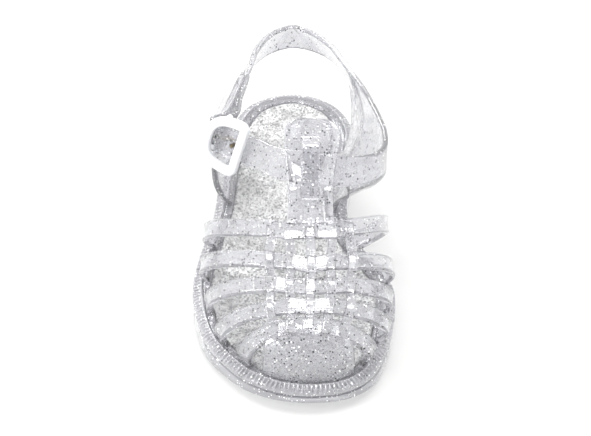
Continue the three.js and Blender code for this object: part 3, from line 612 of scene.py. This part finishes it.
def toe_band():
    """The toe band: a convex wall from the margin at the toe up to the last cross strap, its columns
    cubics that rise straight, bend in and run level into the strap."""
    columns, rows = 44, 36
    front = CROSS_STRAPS[-1]
    middle = crown(front[0])[0][0]
    offset = np.linspace(-1, 1, columns) * TOE_BAND_WIDTH / 2
    u_fine = np.linspace(0.38, 0.62, 1200)
    x_fine = edge(u_fine, ROOT_INSET)[:, 0]
    order = np.argsort(x_fine)
    u = np.interp(middle + offset, x_fine[order], u_fine[order])
    root = edge(u, ROOT_INSET, rim_height)
    way = edge_way(u)
    outward = np.stack([-way[:, 1], way[:, 0], 0 * u], -1)
    top = np.array([on_strap(front, o * TOE_CLOSING)[0] for o in offset])
    start = root + ROOT_LIFT * UP
    height = (top[:, 2] - start[:, 2])[:, None]
    low = start + UP * TOE_RISE * height + outward * TOE_BULGE * height
    high = top + TOE_REACH * (start - top)
    high[:, 2] = top[:, 2] - TOE_DROP * height[:, 0]
    t = np.linspace(0, 1, rows)[:, None]
    grid = bezier(start, low, high, top, t)
    grid = np.concatenate([(root - UP * MARGIN_HEIGHT / 2)[None], grid])
    return plate("toe_band", grid, STRAP_THICKNESS)


def t_bar():
    """The T-bar's plate: a flat bar up the crown with its width read from its own table."""
    at = np.concatenate([np.linspace(T_BAR[0][0], 0.5, 60), np.linspace(0.499, T_BAR[-1][0], 10)])
    p, _, _ = crown(at)
    thick = np.interp(at, (0.66, 0.69), (STRAP_THICKNESS, STRAP_THICKNESS * 0.7))
    return strap("t_bar", p, ACROSS, read_column(T_BAR, at) * BALL_WIDTH, thick, T_BAR_BEAD)


def keeper():
    """The keeper: a bridge over the T-bar's plate that ramps up before the ankle strap and down after it.
    Its rows say how far along the plate and how far out of it, in mm."""
    p, up, out = crown(KEEPER_AT)
    lift = STRAP_THICKNESS * 2 + GAP * 2
    span = ANKLE_STRAP_WIDTH / 2 + GAP * 2
    foot = span + KEEPER_RAMP
    edge_along = span + STRAP_THICKNESS / 2
    ramp = [
        (-foot - 1, 0), (-foot, STRAP_THICKNESS / 3),
        (-edge_along - 0.3, lift - 0.4), (-edge_along + 0.6, lift),
    ]
    rows = np.array([*ramp, (0, lift + GAP), *((-along, rise) for along, rise in reversed(ramp))])
    points = p + rows[:, :1] * up + rows[:, 1:] * out
    return strap("keeper", spline(points, np.linspace(0, 1, 60)), ACROSS, KEEPER_WIDTH, bead=0)


def buckle_axes():
    """The buckle's middle, and its directions rearward along the strap, up its width and out of the foot."""
    middle = np.array([-0.322 * BALL_WIDTH, y_at(0.469), 1.065 * ANKLE_HEIGHT])
    level = unit(np.array([-0.92, 0.39, 0]))
    inward = unit(np.array([0.39, 0.92, 0]))
    upright = UP * math.cos(BUCKLE_LEAN) + inward * math.sin(BUCKLE_LEAN)
    back = level * math.cos(BUCKLE_ROLL) + upright * math.sin(BUCKLE_ROLL)
    up = upright * math.cos(BUCKLE_ROLL) - level * math.sin(BUCKLE_ROLL)
    out = np.cross(back, up)
    return middle, back, up, out if out[1] < 0 else -out


BUCKLE, BACK, BUCKLE_UP, BUCKLE_OUT = buckle_axes()
HINGE_BACK = 2.2
EYE_RADIUS = HINGE_RADIUS + GAP + EYE_WALL
HINGE_OUT = -(STRAP_THICKNESS / 2 + GAP + EYE_RADIUS)
PRONG_BACK = -FRAME_LENGTH / 2 + FRAME_BAND + STRAP_HOLE / 2 + HOLE_CLEARANCE
# The middle of the run round the ankle, which its top leans towards.
LOOP_MIDDLE = np.array([0.03 * BALL_WIDTH, y_at(0.31), 0])


def in_buckle(back, up, out):
    """Points given along the buckle's own three directions."""
    back, up, out = (np.asarray(v, float)[..., None] for v in (back, up, out))
    return BUCKLE + back * BACK + up * BUCKLE_UP + out * BUCKLE_OUT


def ankle_station(row):
    """One row of the run round the ankle: its point, and the direction of the strap's width there."""
    at, side, rise, lean = row
    p = np.array([side * BALL_WIDTH, y_at(at), rise * ANKLE_HEIGHT])
    inward = unit((LOOP_MIDDLE - p) * [1, 1, 0])
    lean = math.radians(lean)
    return p, UP * math.cos(lean) + inward * math.sin(lean)


def ankle_run():
    """The whole run from the hinge's eye round the heel to the tail: points, width directions and widths."""
    rows = [
        (in_buckle(HINGE_BACK + back, 0, HINGE_OUT + out), BUCKLE_UP, EYE_WIDTH) for back, out in EYE_RUN
    ]
    rows += [(*ankle_station(row), HEEL_BAND_WIDTH) for row in HEEL_BAND]
    rows += [(*ankle_station(row), ANKLE_STRAP_WIDTH) for row in ANKLE_STRAP]
    p, up, out = crown(KEEPER_AT)
    rows += [(p + out * (STRAP_THICKNESS + GAP), up, ANKLE_STRAP_WIDTH)]
    rows += [(*ankle_station(row), ANKLE_STRAP_WIDTH) for row in ANKLE_STRAP_END]
    rows += [(in_buckle(back, 0, out), BUCKLE_UP, ANKLE_STRAP_WIDTH) for back, out in THROUGH]
    rows += [(*ankle_station(row), ANKLE_STRAP_WIDTH) for row in TAIL]
    points, across, width = zip(*rows)
    return np.array(points), np.array(across), np.array(width, float)


def ankle_loop():
    """The heel band, ankle strap and tail as one bar along a spline, with the tail's end rounded off."""
    points, across, width = ankle_run()
    t = np.linspace(0, 1, 420)
    path = spline(points, t)
    turned = unit(spline(across, t))
    wide = spline(width[:, None], t)[:, 0]
    gone = np.linalg.norm(path - path[-1], axis=1)
    rounded = np.sqrt(np.clip(1 - (1 - gone / TIP_ROUND) ** 2, 0.09, 1))
    wide = wide * np.where(gone < TIP_ROUND, rounded, 1)
    thin = STRAP_THICKNESS * np.clip(TIP_THICKNESS + gone / TIP_THINNING, 0, 1)
    row = np.arange(len(t)) / len(t) * (len(points) - 1)
    bead = ANKLE_BEAD * np.clip(np.abs(row - BEADLESS_ROW) - BEADLESS_REACH, 0, 1)
    return strap("ankle_loop", path, turned, wide, thin, bead)


def quarter(row):
    """A quarter: a web from the margin to the band, its columns cubics that stand out half-way up."""
    sign, root_rear, root_front, top_rear, top_front, bulge = row
    points, across, _ = ankle_run()
    rows = slice(2, 2 + len(HEEL_BAND) + len(ANKLE_STRAP))
    t = np.linspace(0, 1, 36)
    u = edge_share(root_rear + (root_front - root_rear) * t, sign)
    root = edge(u, ROOT_INSET, rim_height)
    along = top_rear + (top_front - top_rear) * t
    top = spline(points[rows], along)
    down = -unit(spline(across[rows], along))
    start = root + ROOT_LIFT * UP
    height = (top[:, 2] - start[:, 2])[:, None]
    out = ACROSS * sign * bulge * BALL_WIDTH
    sweep = -FORE * REAR_SWEEP * (1 - t[:, None]) ** 2
    low = start + UP * LOW_RISE * height + out * LOW_BULGE + sweep
    hem = top + down * (HEEL_BAND_WIDTH / 2 - HEM_LAP)
    high = hem + down * HIGH_FALL * height + out * HIGH_BULGE + sweep
    grid = bezier(start, low, high, hem, np.linspace(0, 1, 30)[:, None])
    grid = np.concatenate([(root - UP * MARGIN_HEIGHT / 2)[None], grid, top[None]])
    return plate(f"quarter_{'arch' if sign > 0 else 'outer'}", grid, WEB_THICKNESS)


def squarish(turned, power):
    """A cosine or sine pushed out towards a square: its size to a power below one, with its own sign."""
    return np.sign(turned) * np.abs(turned) ** power


def margin():
    """The ring that carries every strap: a rounded bar round the sole's channel."""
    u = np.arange(360) / 360
    turn = (np.arange(16) + 0.5) / 16 * 2 * math.pi
    insets = MARGIN_INSET + MARGIN_WIDTH / 2 * (1 + squarish(np.cos(turn), MARGIN_SQUARE))
    lifts = MARGIN_HEIGHT / 2 * (1 + squarish(np.sin(turn), MARGIN_SQUARE))
    rings = np.stack([edge(u, inset, bed_height, lift) for inset, lift in zip(insets, lifts)], 1)
    return skin("margin", rings, loop=True)


def upper():
    """Everything that is moulded in one with the straps, less the strap's holes and the hinge's bore."""
    eye_run = in_buckle(HINGE_BACK, np.linspace(-1, 1, 8) * (EYE_WIDTH / 2), HINGE_OUT)
    eye = rod("eye", eye_run, EYE_RADIUS, BUCKLE_OUT, 32)
    pieces = [margin(), *(cross_strap(i) for i in range(5)), *(weave_strip(i) for i in range(5))]
    pieces += [toe_band(), t_bar(), keeper(), ankle_loop(), *(quarter(row) for row in QUARTERS), eye]
    reach = STRAP_THICKNESS + GAP
    depth = np.linspace(-reach / 2 - GAP, reach, 4)
    cutters = [
        rod(f"hole_{i}", in_buckle(PRONG_BACK + i * HOLE_PITCH, 0, depth), STRAP_HOLE / 2, BUCKLE_UP, 28)
        for i in range(3)
    ]
    bore = in_buckle(HINGE_BACK, np.linspace(-1, 1, 4) * ANKLE_STRAP_WIDTH, HINGE_OUT)
    cutters.append(rod("bore", bore, HINGE_RADIUS + GAP, BUCKLE_OUT, 28))
    slot = in_buckle(HINGE_BACK - EYE_RADIUS / 4 + np.linspace(-1, 1, 4) * EYE_RADIUS * 1.5, 0, HINGE_OUT)
    cutters.append(strap("slot", slot, BUCKLE_UP, PRONG_WIRE + 2 * GAP, EYE_RADIUS * 2 + 0.1, bead=0))
    return unite("jelly_upper", pieces, cutters)


def sole():
    """The outsole: rings round its edge from the tread up the wall, over the groove and the ribbed rim and
    down into the recess. The ribs are a cosine round the edge that fades in and out across the rim's band."""
    ribs = round(PERIMETER / RIB_PITCH)
    u = np.arange(ribs * 8) / (ribs * 8)
    wave = 0.5 - 0.5 * np.cos(2 * math.pi * ribs * u)
    ridge = np.clip(wave * RIB_CONTRAST - 0.1, 0, 1)
    ledge = -BASE_STEP
    shelf = ledge + GROOVE_WIDTH
    lip = RIB_BAND + LIP_WIDTH
    rows = [(TREAD_RING, tread_height, 0), (TREAD_BEVEL, tread_height, 0)]
    for angle in np.linspace(0, math.pi / 2, 5)[1:]:
        inset = TREAD_BEVEL * (1 - math.sin(angle)) + 0.02
        rows.append((inset, tread_height, TREAD_BEVEL * 0.7 * (1 - math.cos(angle))))
    wall = [
        (0, ledge - 0.35), (EDGE_ROUND, ledge - 0.1), (0.35, ledge), (GROOVE_DEPTH, ledge),
        (GROOVE_DEPTH, shelf), (0.3, shelf + 0.05), (0.12, shelf + 0.3), (EDGE_ROUND, -RIM_DROP - 0.5),
    ]
    rows += [(inset, rim_height, lift) for inset, lift in wall]
    for across in np.linspace(0, 1, 13):
        window = np.sin(math.pi * np.clip(across + 0.06, 0, 1)) ** 0.5
        inset = EDGE_ROUND + (RIB_BAND - EDGE_ROUND) * across
        crest = -RIM_DROP * (1 - across) ** CREST_POWER
        depth = RIB_DEPTH * window * (1 - ridge)
        slope = RIB_LEAN * (1 - across)
        rows.append((inset + depth * slope, rim_height, crest - depth * (1 - slope)))
    inside = [
        (RIB_BAND + LIP_WIDTH * 0.5, 0.02), (RIB_BAND + LIP_WIDTH * 0.9, -0.1), (lip, -0.35),
        (lip, -RECESS_DEPTH), (lip + 4, -RECESS_DEPTH),
    ]
    rows += [(inset, rim_height, lift) for inset, lift in inside]
    rings = [edge(u, *row) for row in rows]
    body = skin("outsole", np.array(rings))
    cutters = []
    for start, end in LUGS:
        count = int((end - start) * SOLE_LENGTH // LUG_PITCH)
        for i in range(count):
            y = y_at(start) - (i + 0.5) * (end - start) * SOLE_LENGTH / count
            path = np.stack([np.linspace(-1, 1, 6) * BALL_WIDTH, np.full(6, y), np.zeros(6)], -1)
            cutters.append(strap(f"groove_{start}_{i}", path, [0, 1, 0], LUG_GROOVE, LUG_DEPTH * 2, bead=0))
    return unite("jelly_sole", [body], cutters)


def footbed():
    """The footbed: rings round its edge, rounded over at the top and falling to a shallow dish inside. The
    rows say how far in and how far up each ring lies, in mm."""
    u = np.arange(400) / 400
    outside = MARGIN_INSET + MARGIN_WIDTH + GAP
    top = FOOTBED_THICKNESS
    profile = [
        (3, 0), (0, 0), (0, top - 0.5), (0.06, top - 0.28), (0.2, top - 0.12), (0.45, top), (0.9, top),
        (1.3, top - 0.1), (2.2, top - 0.3), (4, top - FOOTBED_DISH), (7, top - FOOTBED_DISH),
    ]
    rings = [edge(u, outside + inset, bed_height, lift) for inset, lift in profile]
    return skin("glitter_footbed", np.array(rings))


def buckle_frame():
    """The D-shaped frame: a rounded bar round one path, straight at the front and a bow behind, with the
    two legs and the hinge's bar that the strap's eye turns on."""
    inset = FRAME_BAND / 2
    front, rear, high = inset - FRAME_LENGTH / 2, FRAME_LENGTH / 2 - inset, FRAME_HEIGHT / 2 - inset
    corner = FRAME_CORNER
    t = np.linspace(0, 1, 60)
    bowed = [(front + corner, high), (rear * BOW_REACH, high), (rear, high * BOW_HEIGHT), (rear, 0)]
    turned = [
        (front, high - corner), (front, high - corner / 3), (front + corner / 3, high), (front + corner, high)
    ]
    bow = bezier(*np.array(bowed), t)
    turn = bezier(*np.array(turned), t[::4])
    straight = np.stack([np.full(20, front), np.linspace(0, high - corner, 20)], -1)
    half = np.vstack([straight, turn[1:], bow[1:]])
    path = np.vstack([half, (half * [1, -1])[::-1][1:-1]])
    closed = np.vstack([path, path[:1]])
    spaced = np.concatenate([[0], np.cumsum(np.linalg.norm(np.diff(closed, axis=0), axis=1))])
    at = np.linspace(0, spaced[-1], 241)[:-1]
    path = np.stack([np.interp(at, spaced, closed[:, k]) for k in (0, 1)], -1)
    way = unit(np.roll(path, -1, 0) - np.roll(path, 1, 0))
    angle = (np.arange(24) + 0.5) / 24 * 2 * math.pi
    wide = inset * squarish(np.cos(angle), FRAME_SQUARE)
    thick = FRAME_THICKNESS / 2 * squarish(np.sin(angle), FRAME_SQUARE)
    lift = STRAP_THICKNESS / 2 + GAP
    middle = lift + FRAME_THICKNESS / 2
    rings = in_buckle(
        path[:, :1] - way[:, 1:] * wide,
        path[:, 1:] + way[:, :1] * wide,
        middle + thick + 0 * path[:, :1],
    )
    pieces = [skin("ring", rings, loop=True)]
    reach = ANKLE_STRAP_WIDTH / 2 + GAP * 2 + HINGE_RADIUS
    for sign in (-1, 1):
        leg = in_buckle(HINGE_BACK, sign * reach, np.linspace(HINGE_OUT - HINGE_RADIUS, middle, 6))
        pieces.append(rod(f"leg_{sign}", leg, LEG_RADIUS, BACK, 24))
    bar = in_buckle(HINGE_BACK, np.linspace(-reach, reach, 6), HINGE_OUT)
    pieces.append(rod("hinge", bar, HINGE_RADIUS, BACK, 24))
    return unite("buckle_d_frame", pieces)


def buckle_prong():
    """The prong: a wire along a spline from the hinge through the strap, and a ring round the hinge."""
    radius = PRONG_WIRE / 2
    turn = HINGE_RADIUS + GAP + radius
    tip = STRAP_THICKNESS / 2 + GAP + FRAME_THICKNESS * PRONG_REACH
    rows = [
        (HINGE_BACK - turn, HINGE_OUT - PRONG_SAG), (PRONG_BACK + PRONG_BEND, HINGE_OUT + PRONG_SAG),
        (PRONG_BACK, HINGE_OUT + PRONG_RISE), (PRONG_BACK, tip),
    ]
    t = np.linspace(0, 1, 40)
    path = spline([in_buckle(back, 0, out) for back, out in rows], t)
    into_tip = np.clip((t - (1 - PRONG_TIP)) / PRONG_TIP, 0, 0.96)
    size = radius * np.sqrt(np.clip(1 - into_tip**2, 0.08, 1))
    wire = rod("wire", path, size, BUCKLE_UP, 16)
    angle = np.arange(40) / 40 * 2 * math.pi
    around = in_buckle(HINGE_BACK + turn * np.cos(angle), 0, HINGE_OUT + turn * np.sin(angle))
    return unite("brass_prong", [wire, rod("round", around, radius, BUCKLE_UP, 16, loop=True)])


def linear(code):
    """An sRGB hex colour as linear red, green, blue and alpha."""
    channel = [int(code[i : i + 2], 16) / 255 for i in (1, 3, 5)]
    return [*(c / 12.92 if c <= 0.04045 else ((c + 0.055) / 1.055) ** 2.4 for c in channel), 1.0]


def add(tree, kind, inputs=None, **settings):
    """Adds a node, sets its properties, and fills its inputs with values or with other nodes' outputs."""
    made = tree.nodes.new(kind)
    for key, value in settings.items():
        setattr(made, key, value)
    for key, value in (inputs or {}).items():
        if isinstance(value, bpy.types.NodeSocket):
            tree.links.new(value, made.inputs[key])
        else:
            made.inputs[key].default_value = value
    return made


def new_material(name):
    """An empty node material, with its tree and its output."""
    material = bpy.data.materials.new(name)
    material.use_nodes = True
    material.node_tree.nodes.clear()
    return material, material.node_tree, add(material.node_tree, "ShaderNodeOutputMaterial")


def glitter_pvc(name, clear, flake_shade_and_silver, share, silver_share, spacing, radius, transmission):
    """Plasticised PVC, clear, injection moulded with silver foil glitter in the melt. The eye gets a wet
    gloss, soft grey depths where it is thick, and tiny plates that each catch or lose the light alone. The
    ones that lose it are painted shade: they are coloured dark instead of silver. A cell pattern spaced like
    the flakes picks a share of its cells, and each flake is tilted its own way."""
    material, tree, output = new_material(name)
    where = add(tree, "ShaderNodeTexCoord").outputs["Object"]
    cells = add(tree, "ShaderNodeTexVoronoi", {"Vector": where, "Scale": 1000 / spacing}, feature="F1")
    colour = add(tree, "ShaderNodeSeparateColor", {"Color": cells.outputs["Color"]})
    picked = add(tree, "ShaderNodeMath", {0: colour.outputs["Red"], 1: share}, operation="LESS_THAN")
    near = add(tree, "ShaderNodeMath", {0: cells.outputs["Distance"], 1: radius / spacing}, operation="LESS_THAN")
    flake = add(tree, "ShaderNodeMath", {0: picked.outputs[0], 1: near.outputs[0]}, operation="MULTIPLY")
    # A share of the flakes keeps the silver. The rest are painted near black or grey, a painted shade that stands
    # for silver flakes mirroring the dark room.
    silver_flake = add(tree, "ShaderNodeMath", {0: colour.outputs["Green"], 1: silver_share}, operation="LESS_THAN")
    foil = add(
        tree, "ShaderNodeMix", {0: silver_flake.outputs[0], 6: linear(flake_shade_and_silver[0]), 7: linear(flake_shade_and_silver[1])}, data_type="RGBA"
    )
    cloud = add(tree, "ShaderNodeTexNoise", {"Vector": where, "Scale": 1000 / 9.0, "Detail": 3.0})
    body = add(
        tree,
        "ShaderNodeMix",
        {0: cloud.outputs["Fac"], 6: linear(clear[0]), 7: linear(clear[1])},
        data_type="RGBA",
    )
    paint = add(
        tree, "ShaderNodeMix", {0: flake.outputs[0], 6: body.outputs[2], 7: foil.outputs[2]}, data_type="RGBA"
    )
    centred = add(
        tree, "ShaderNodeVectorMath", {0: cells.outputs["Color"], 1: (0.5, 0.5, 0.5)}, operation="SUBTRACT"
    )
    tilt = add(tree, "ShaderNodeVectorMath", {0: centred.outputs[0]}, operation="SCALE")
    tree.links.new(flake.outputs[0], tilt.inputs["Scale"])
    ripple = add(tree, "ShaderNodeTexNoise", {"Vector": where, "Scale": 1000 / 5.0, "Detail": 2.0})
    bump = add(
        tree, "ShaderNodeBump", {"Height": ripple.outputs["Fac"], "Strength": 0.2, "Distance": 0.0006}
    )
    turned = add(tree, "ShaderNodeVectorMath", {0: bump.outputs[0], 1: tilt.outputs[0]}, operation="ADD")
    normal = add(tree, "ShaderNodeVectorMath", {0: turned.outputs[0]}, operation="NORMALIZE")
    rough = add(
        tree, "ShaderNodeMapRange", {"Value": flake.outputs[0], "To Min": 0.07, "To Max": 0.3}
    )
    shader = add(
        tree,
        "ShaderNodeBsdfPrincipled",
        {
            "Base Color": paint.outputs[2],
            "Metallic": flake.outputs[0],
            "Roughness": rough.outputs[0],
            "Normal": normal.outputs[0],
            "IOR": 1.5,
            "Transmission Weight": transmission,
            "Coat Weight": 0.8,
            "Coat Roughness": 0.08,
        },
    )
    tree.links.new(shader.outputs[0], output.inputs["Surface"])
    return material


def footbed_glitter():
    """Clear PVC packed with coarse silver glitter over a white base. The eye gets a crowd of white and grey
    grains with no clear plastic between them. Flakes are 0.46 mm across and lie flat or on edge."""
    material, tree, output = new_material("packed_glitter_pvc")
    where = add(tree, "ShaderNodeTexCoord").outputs["Object"]
    cells = add(tree, "ShaderNodeTexVoronoi", {"Vector": where, "Scale": 1000 / 0.46}, feature="F1")
    colour = add(tree, "ShaderNodeSeparateColor", {"Color": cells.outputs["Color"]})
    ramp = add(tree, "ShaderNodeValToRGB", {"Fac": colour.outputs["Green"]})
    ramp.color_ramp.elements[0].color = linear("#88888a")
    for position, code in ((0.6, "#dedede"), (0.85, "#ffffff")):
        ramp.color_ramp.elements.new(position).color = linear(code)
    patch = add(tree, "ShaderNodeTexNoise", {"Vector": where, "Scale": 1000 / 7.0, "Detail": 2.0})
    deep = add(
        tree,
        "ShaderNodeMapRange",
        {"Value": patch.outputs["Fac"], "From Min": 0.35, "From Max": 0.65, "To Min": 0.8, "To Max": 1.05},
    )
    paint = add(tree, "ShaderNodeVectorMath", {0: ramp.outputs["Color"]}, operation="SCALE")
    tree.links.new(deep.outputs[0], paint.inputs["Scale"])
    centred = add(
        tree, "ShaderNodeVectorMath", {0: cells.outputs["Color"], 1: (0.5, 0.5, 0.5)}, operation="SUBTRACT"
    )
    tilt = add(tree, "ShaderNodeVectorMath", {0: centred.outputs[0], "Scale": 0.9}, operation="SCALE")
    geometry = add(tree, "ShaderNodeNewGeometry")
    turned = add(tree, "ShaderNodeVectorMath", {0: geometry.outputs["Normal"], 1: tilt.outputs[0]}, operation="ADD")
    normal = add(tree, "ShaderNodeVectorMath", {0: turned.outputs[0]}, operation="NORMALIZE")
    shader = add(
        tree,
        "ShaderNodeBsdfPrincipled",
        {
            "Base Color": paint.outputs[0],
            "Metallic": 0.35,
            "Roughness": 0.35,
            "Normal": normal.outputs[0],
            "IOR": 1.5,
            "Coat Weight": 0.4,
            "Coat Roughness": 0.12,
        },
    )
    tree.links.new(shader.outputs[0], output.inputs["Surface"])
    return material


def milky_acetal():
    """Acetal, injection moulded in natural white. The eye gets a soft bluish milkiness and a silky gloss."""
    material, tree, output = new_material("natural_acetal")
    where = add(tree, "ShaderNodeTexCoord").outputs["Object"]
    cloud = add(tree, "ShaderNodeTexNoise", {"Vector": where, "Scale": 1000 / 4.0, "Detail": 2.0})
    paint = add(
        tree,
        "ShaderNodeMix",
        {0: cloud.outputs["Fac"], 6: linear("#f7faff"), 7: linear("#fdfeff")},
        data_type="RGBA",
    )
    bump = add(tree, "ShaderNodeBump", {"Height": cloud.outputs["Fac"], "Strength": 0.05, "Distance": 0.0003})
    shader = add(
        tree,
        "ShaderNodeBsdfPrincipled",
        {
            "Base Color": paint.outputs[2],
            "Roughness": 0.28,
            "IOR": 1.48,
            "Normal": bump.outputs[0],
            "Subsurface Weight": 0.35,
            "Subsurface Scale": 0.002,
            "Subsurface Radius": (0.9, 1.0, 1.1),
        },
    )
    tree.links.new(shader.outputs[0], output.inputs["Surface"])
    return material


def brass():
    """Brass wire, drawn and tumbled. The eye gets a dull grey-gold with fine scuffs."""
    material, tree, output = new_material("tumbled_brass")
    where = add(tree, "ShaderNodeTexCoord").outputs["Object"]
    scuff = add(tree, "ShaderNodeTexNoise", {"Vector": where, "Scale": 1000 / 0.6, "Detail": 4.0})
    rough = add(tree, "ShaderNodeMapRange", {"Value": scuff.outputs["Fac"], "To Min": 0.25, "To Max": 0.5})
    paint = add(
        tree,
        "ShaderNodeMix",
        {0: scuff.outputs["Fac"], 6: linear("#7c7260"), 7: linear("#a2967e")},
        data_type="RGBA",
    )
    shader = add(
        tree,
        "ShaderNodeBsdfPrincipled",
        {"Base Color": paint.outputs[2], "Metallic": 1.0, "Roughness": rough.outputs[0]},
    )
    tree.links.new(shader.outputs[0], output.inputs["Surface"])
    return material


def finish(piece, material, node, sharp=40):
    """Gives a piece its material and smooth faces, sharp where they turn by more than an angle, and its
    place in the frame."""
    piece.data.materials.clear()
    piece.data.materials.append(material)
    piece.data.shade_smooth()
    piece.data.set_sharp_from_angle(angle=math.radians(sharp))
    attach(piece, "root")
    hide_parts(node)


# The second colour pair is the flakes'. Its first colour is painted shade, near black on the upper and grey on the
# sole, standing for silver flakes that mirror the dark room. Its second colour is the silver.
clear_upper = glitter_pvc(
    "clear_glitter_pvc_upper", ("#e6e6ea", "#f0f0f4"), ("#08080a", "#ffffff"), 0.24, 0.5, 0.72, 0.25, 0.82
)
clear_sole = glitter_pvc(
    "clear_glitter_pvc_sole", ("#dcdce1", "#ebebef"), ("#5a5a60", "#ffffff"), 0.35, 0.8, 0.75, 0.24, 0.64
)

finish(upper(), clear_upper, "upper")
finish(sole(), clear_sole, "sole")
finish(footbed(), footbed_glitter(), "insole")
finish(buckle_frame(), milky_acetal(), "buckle_frame")
finish(buckle_prong(), brass(), "buckle_prong")


def floor():
    """A plain pale floor that curves up behind the shoe."""
    x = np.linspace(-3, 3, 2)
    turn = np.linspace(0.05, math.pi / 2, 16)
    run = np.concatenate([[-3, 1.2], 1.2 + 0.8 * np.sin(turn), [2.0]])
    rise = np.concatenate([[0, 0], 0.8 * (1 - np.cos(turn)), [3.0]])
    points = np.stack(
        [np.tile(x, len(run)), np.repeat(run, 2), np.repeat(rise, 2)], -1
    )
    i = np.arange(len(run) - 1) * 2
    faces = np.stack([i, i + 1, i + 3, i + 2], -1)
    mesh = bpy.data.meshes.new("studio_floor")
    mesh.from_pydata(points.tolist(), [], faces.tolist())
    mesh.shade_smooth()
    made = bpy.data.objects.new("studio_floor", mesh)
    bpy.context.scene.collection.objects.link(made)
    material, tree, output = new_material("white_paper")
    shader = add(
        tree,
        "ShaderNodeBsdfPrincipled",
        {
            "Base Color": linear("#b3b3b2"),
            "Roughness": 0.9,
            "Specular IOR Level": 0.1,
            "Emission Color": linear("#ffffff"),
            "Emission Strength": 0.45,
        },
    )
    tree.links.new(shader.outputs[0], output.inputs["Surface"])
    mesh.materials.append(material)


def lamp(name, place_at, aim, size, power):
    """A soft square lamp at a place, turned to look at a point."""
    data = bpy.data.lights.new(name, "AREA")
    data.shape = "RECTANGLE"
    data.size, data.size_y = size
    data.energy = power
    made = bpy.data.objects.new(name, data)
    made.location = place_at
    made.rotation_euler = (Vector(aim) - Vector(place_at)).to_track_quat("-Z", "Y").to_euler()
    bpy.context.scene.collection.objects.link(made)


def studio():
    """A white surround with a darker ceiling in front of the shoe, and three soft boxes: one over the shoe,
    one from behind it and one at its side."""
    world = bpy.data.worlds.new("studio")
    bpy.context.scene.world = world
    world.use_nodes = True
    tree = world.node_tree
    tree.nodes.clear()
    way = add(tree, "ShaderNodeTexCoord").outputs["Generated"]
    ceiling = add(tree, "ShaderNodeVectorMath", {0: way, 1: (0.0, -0.34, 0.94)}, operation="DOT_PRODUCT")
    shade = add(
        tree,
        "ShaderNodeMapRange",
        {
            "Value": ceiling.outputs["Value"],
            "From Min": 0.7,
            "From Max": 0.95,
            "To Min": 1.13,
            "To Max": 0.4,
        },
    )
    background = add(tree, "ShaderNodeBackground", {"Color": linear("#ffffff"), "Strength": shade.outputs[0]})
    tree.links.new(background.outputs[0], add(tree, "ShaderNodeOutputWorld").inputs["Surface"])
    lamp("overhead", (0.03, 0.17, 1.3), (0, 0, 0), (0.8, 0.42), 9.5)
    lamp("behind", (-0.5, 1.1, 0.9), (0, 0, 0.02), (0.6, 0.3), 5)
    lamp("side", (-1.1, -0.4, 0.7), (0, 0, 0.02), (0.3, 0.7), 6)


def camera():
    """The photograph's view: from the front and above, square to the shoe's length."""
    elevation = math.radians(38)
    distance = 0.918
    target = np.array([1.07, 11.27, 8.0])
    data = bpy.data.cameras.new("camera")
    data.sensor_width = 36
    data.lens = 2870 / 591 * 36
    data.clip_start = 0.01
    made = bpy.data.objects.new("camera", data)
    back = np.array([0, -math.cos(elevation), math.sin(elevation)])
    made.location = place(target) + back * distance
    made.rotation_euler = (math.pi / 2 - elevation, 0, 0)
    bpy.context.scene.collection.objects.link(made)
    bpy.context.scene.camera = made


floor()
studio()
camera()
bpy.context.scene.view_settings.view_transform = "Standard"
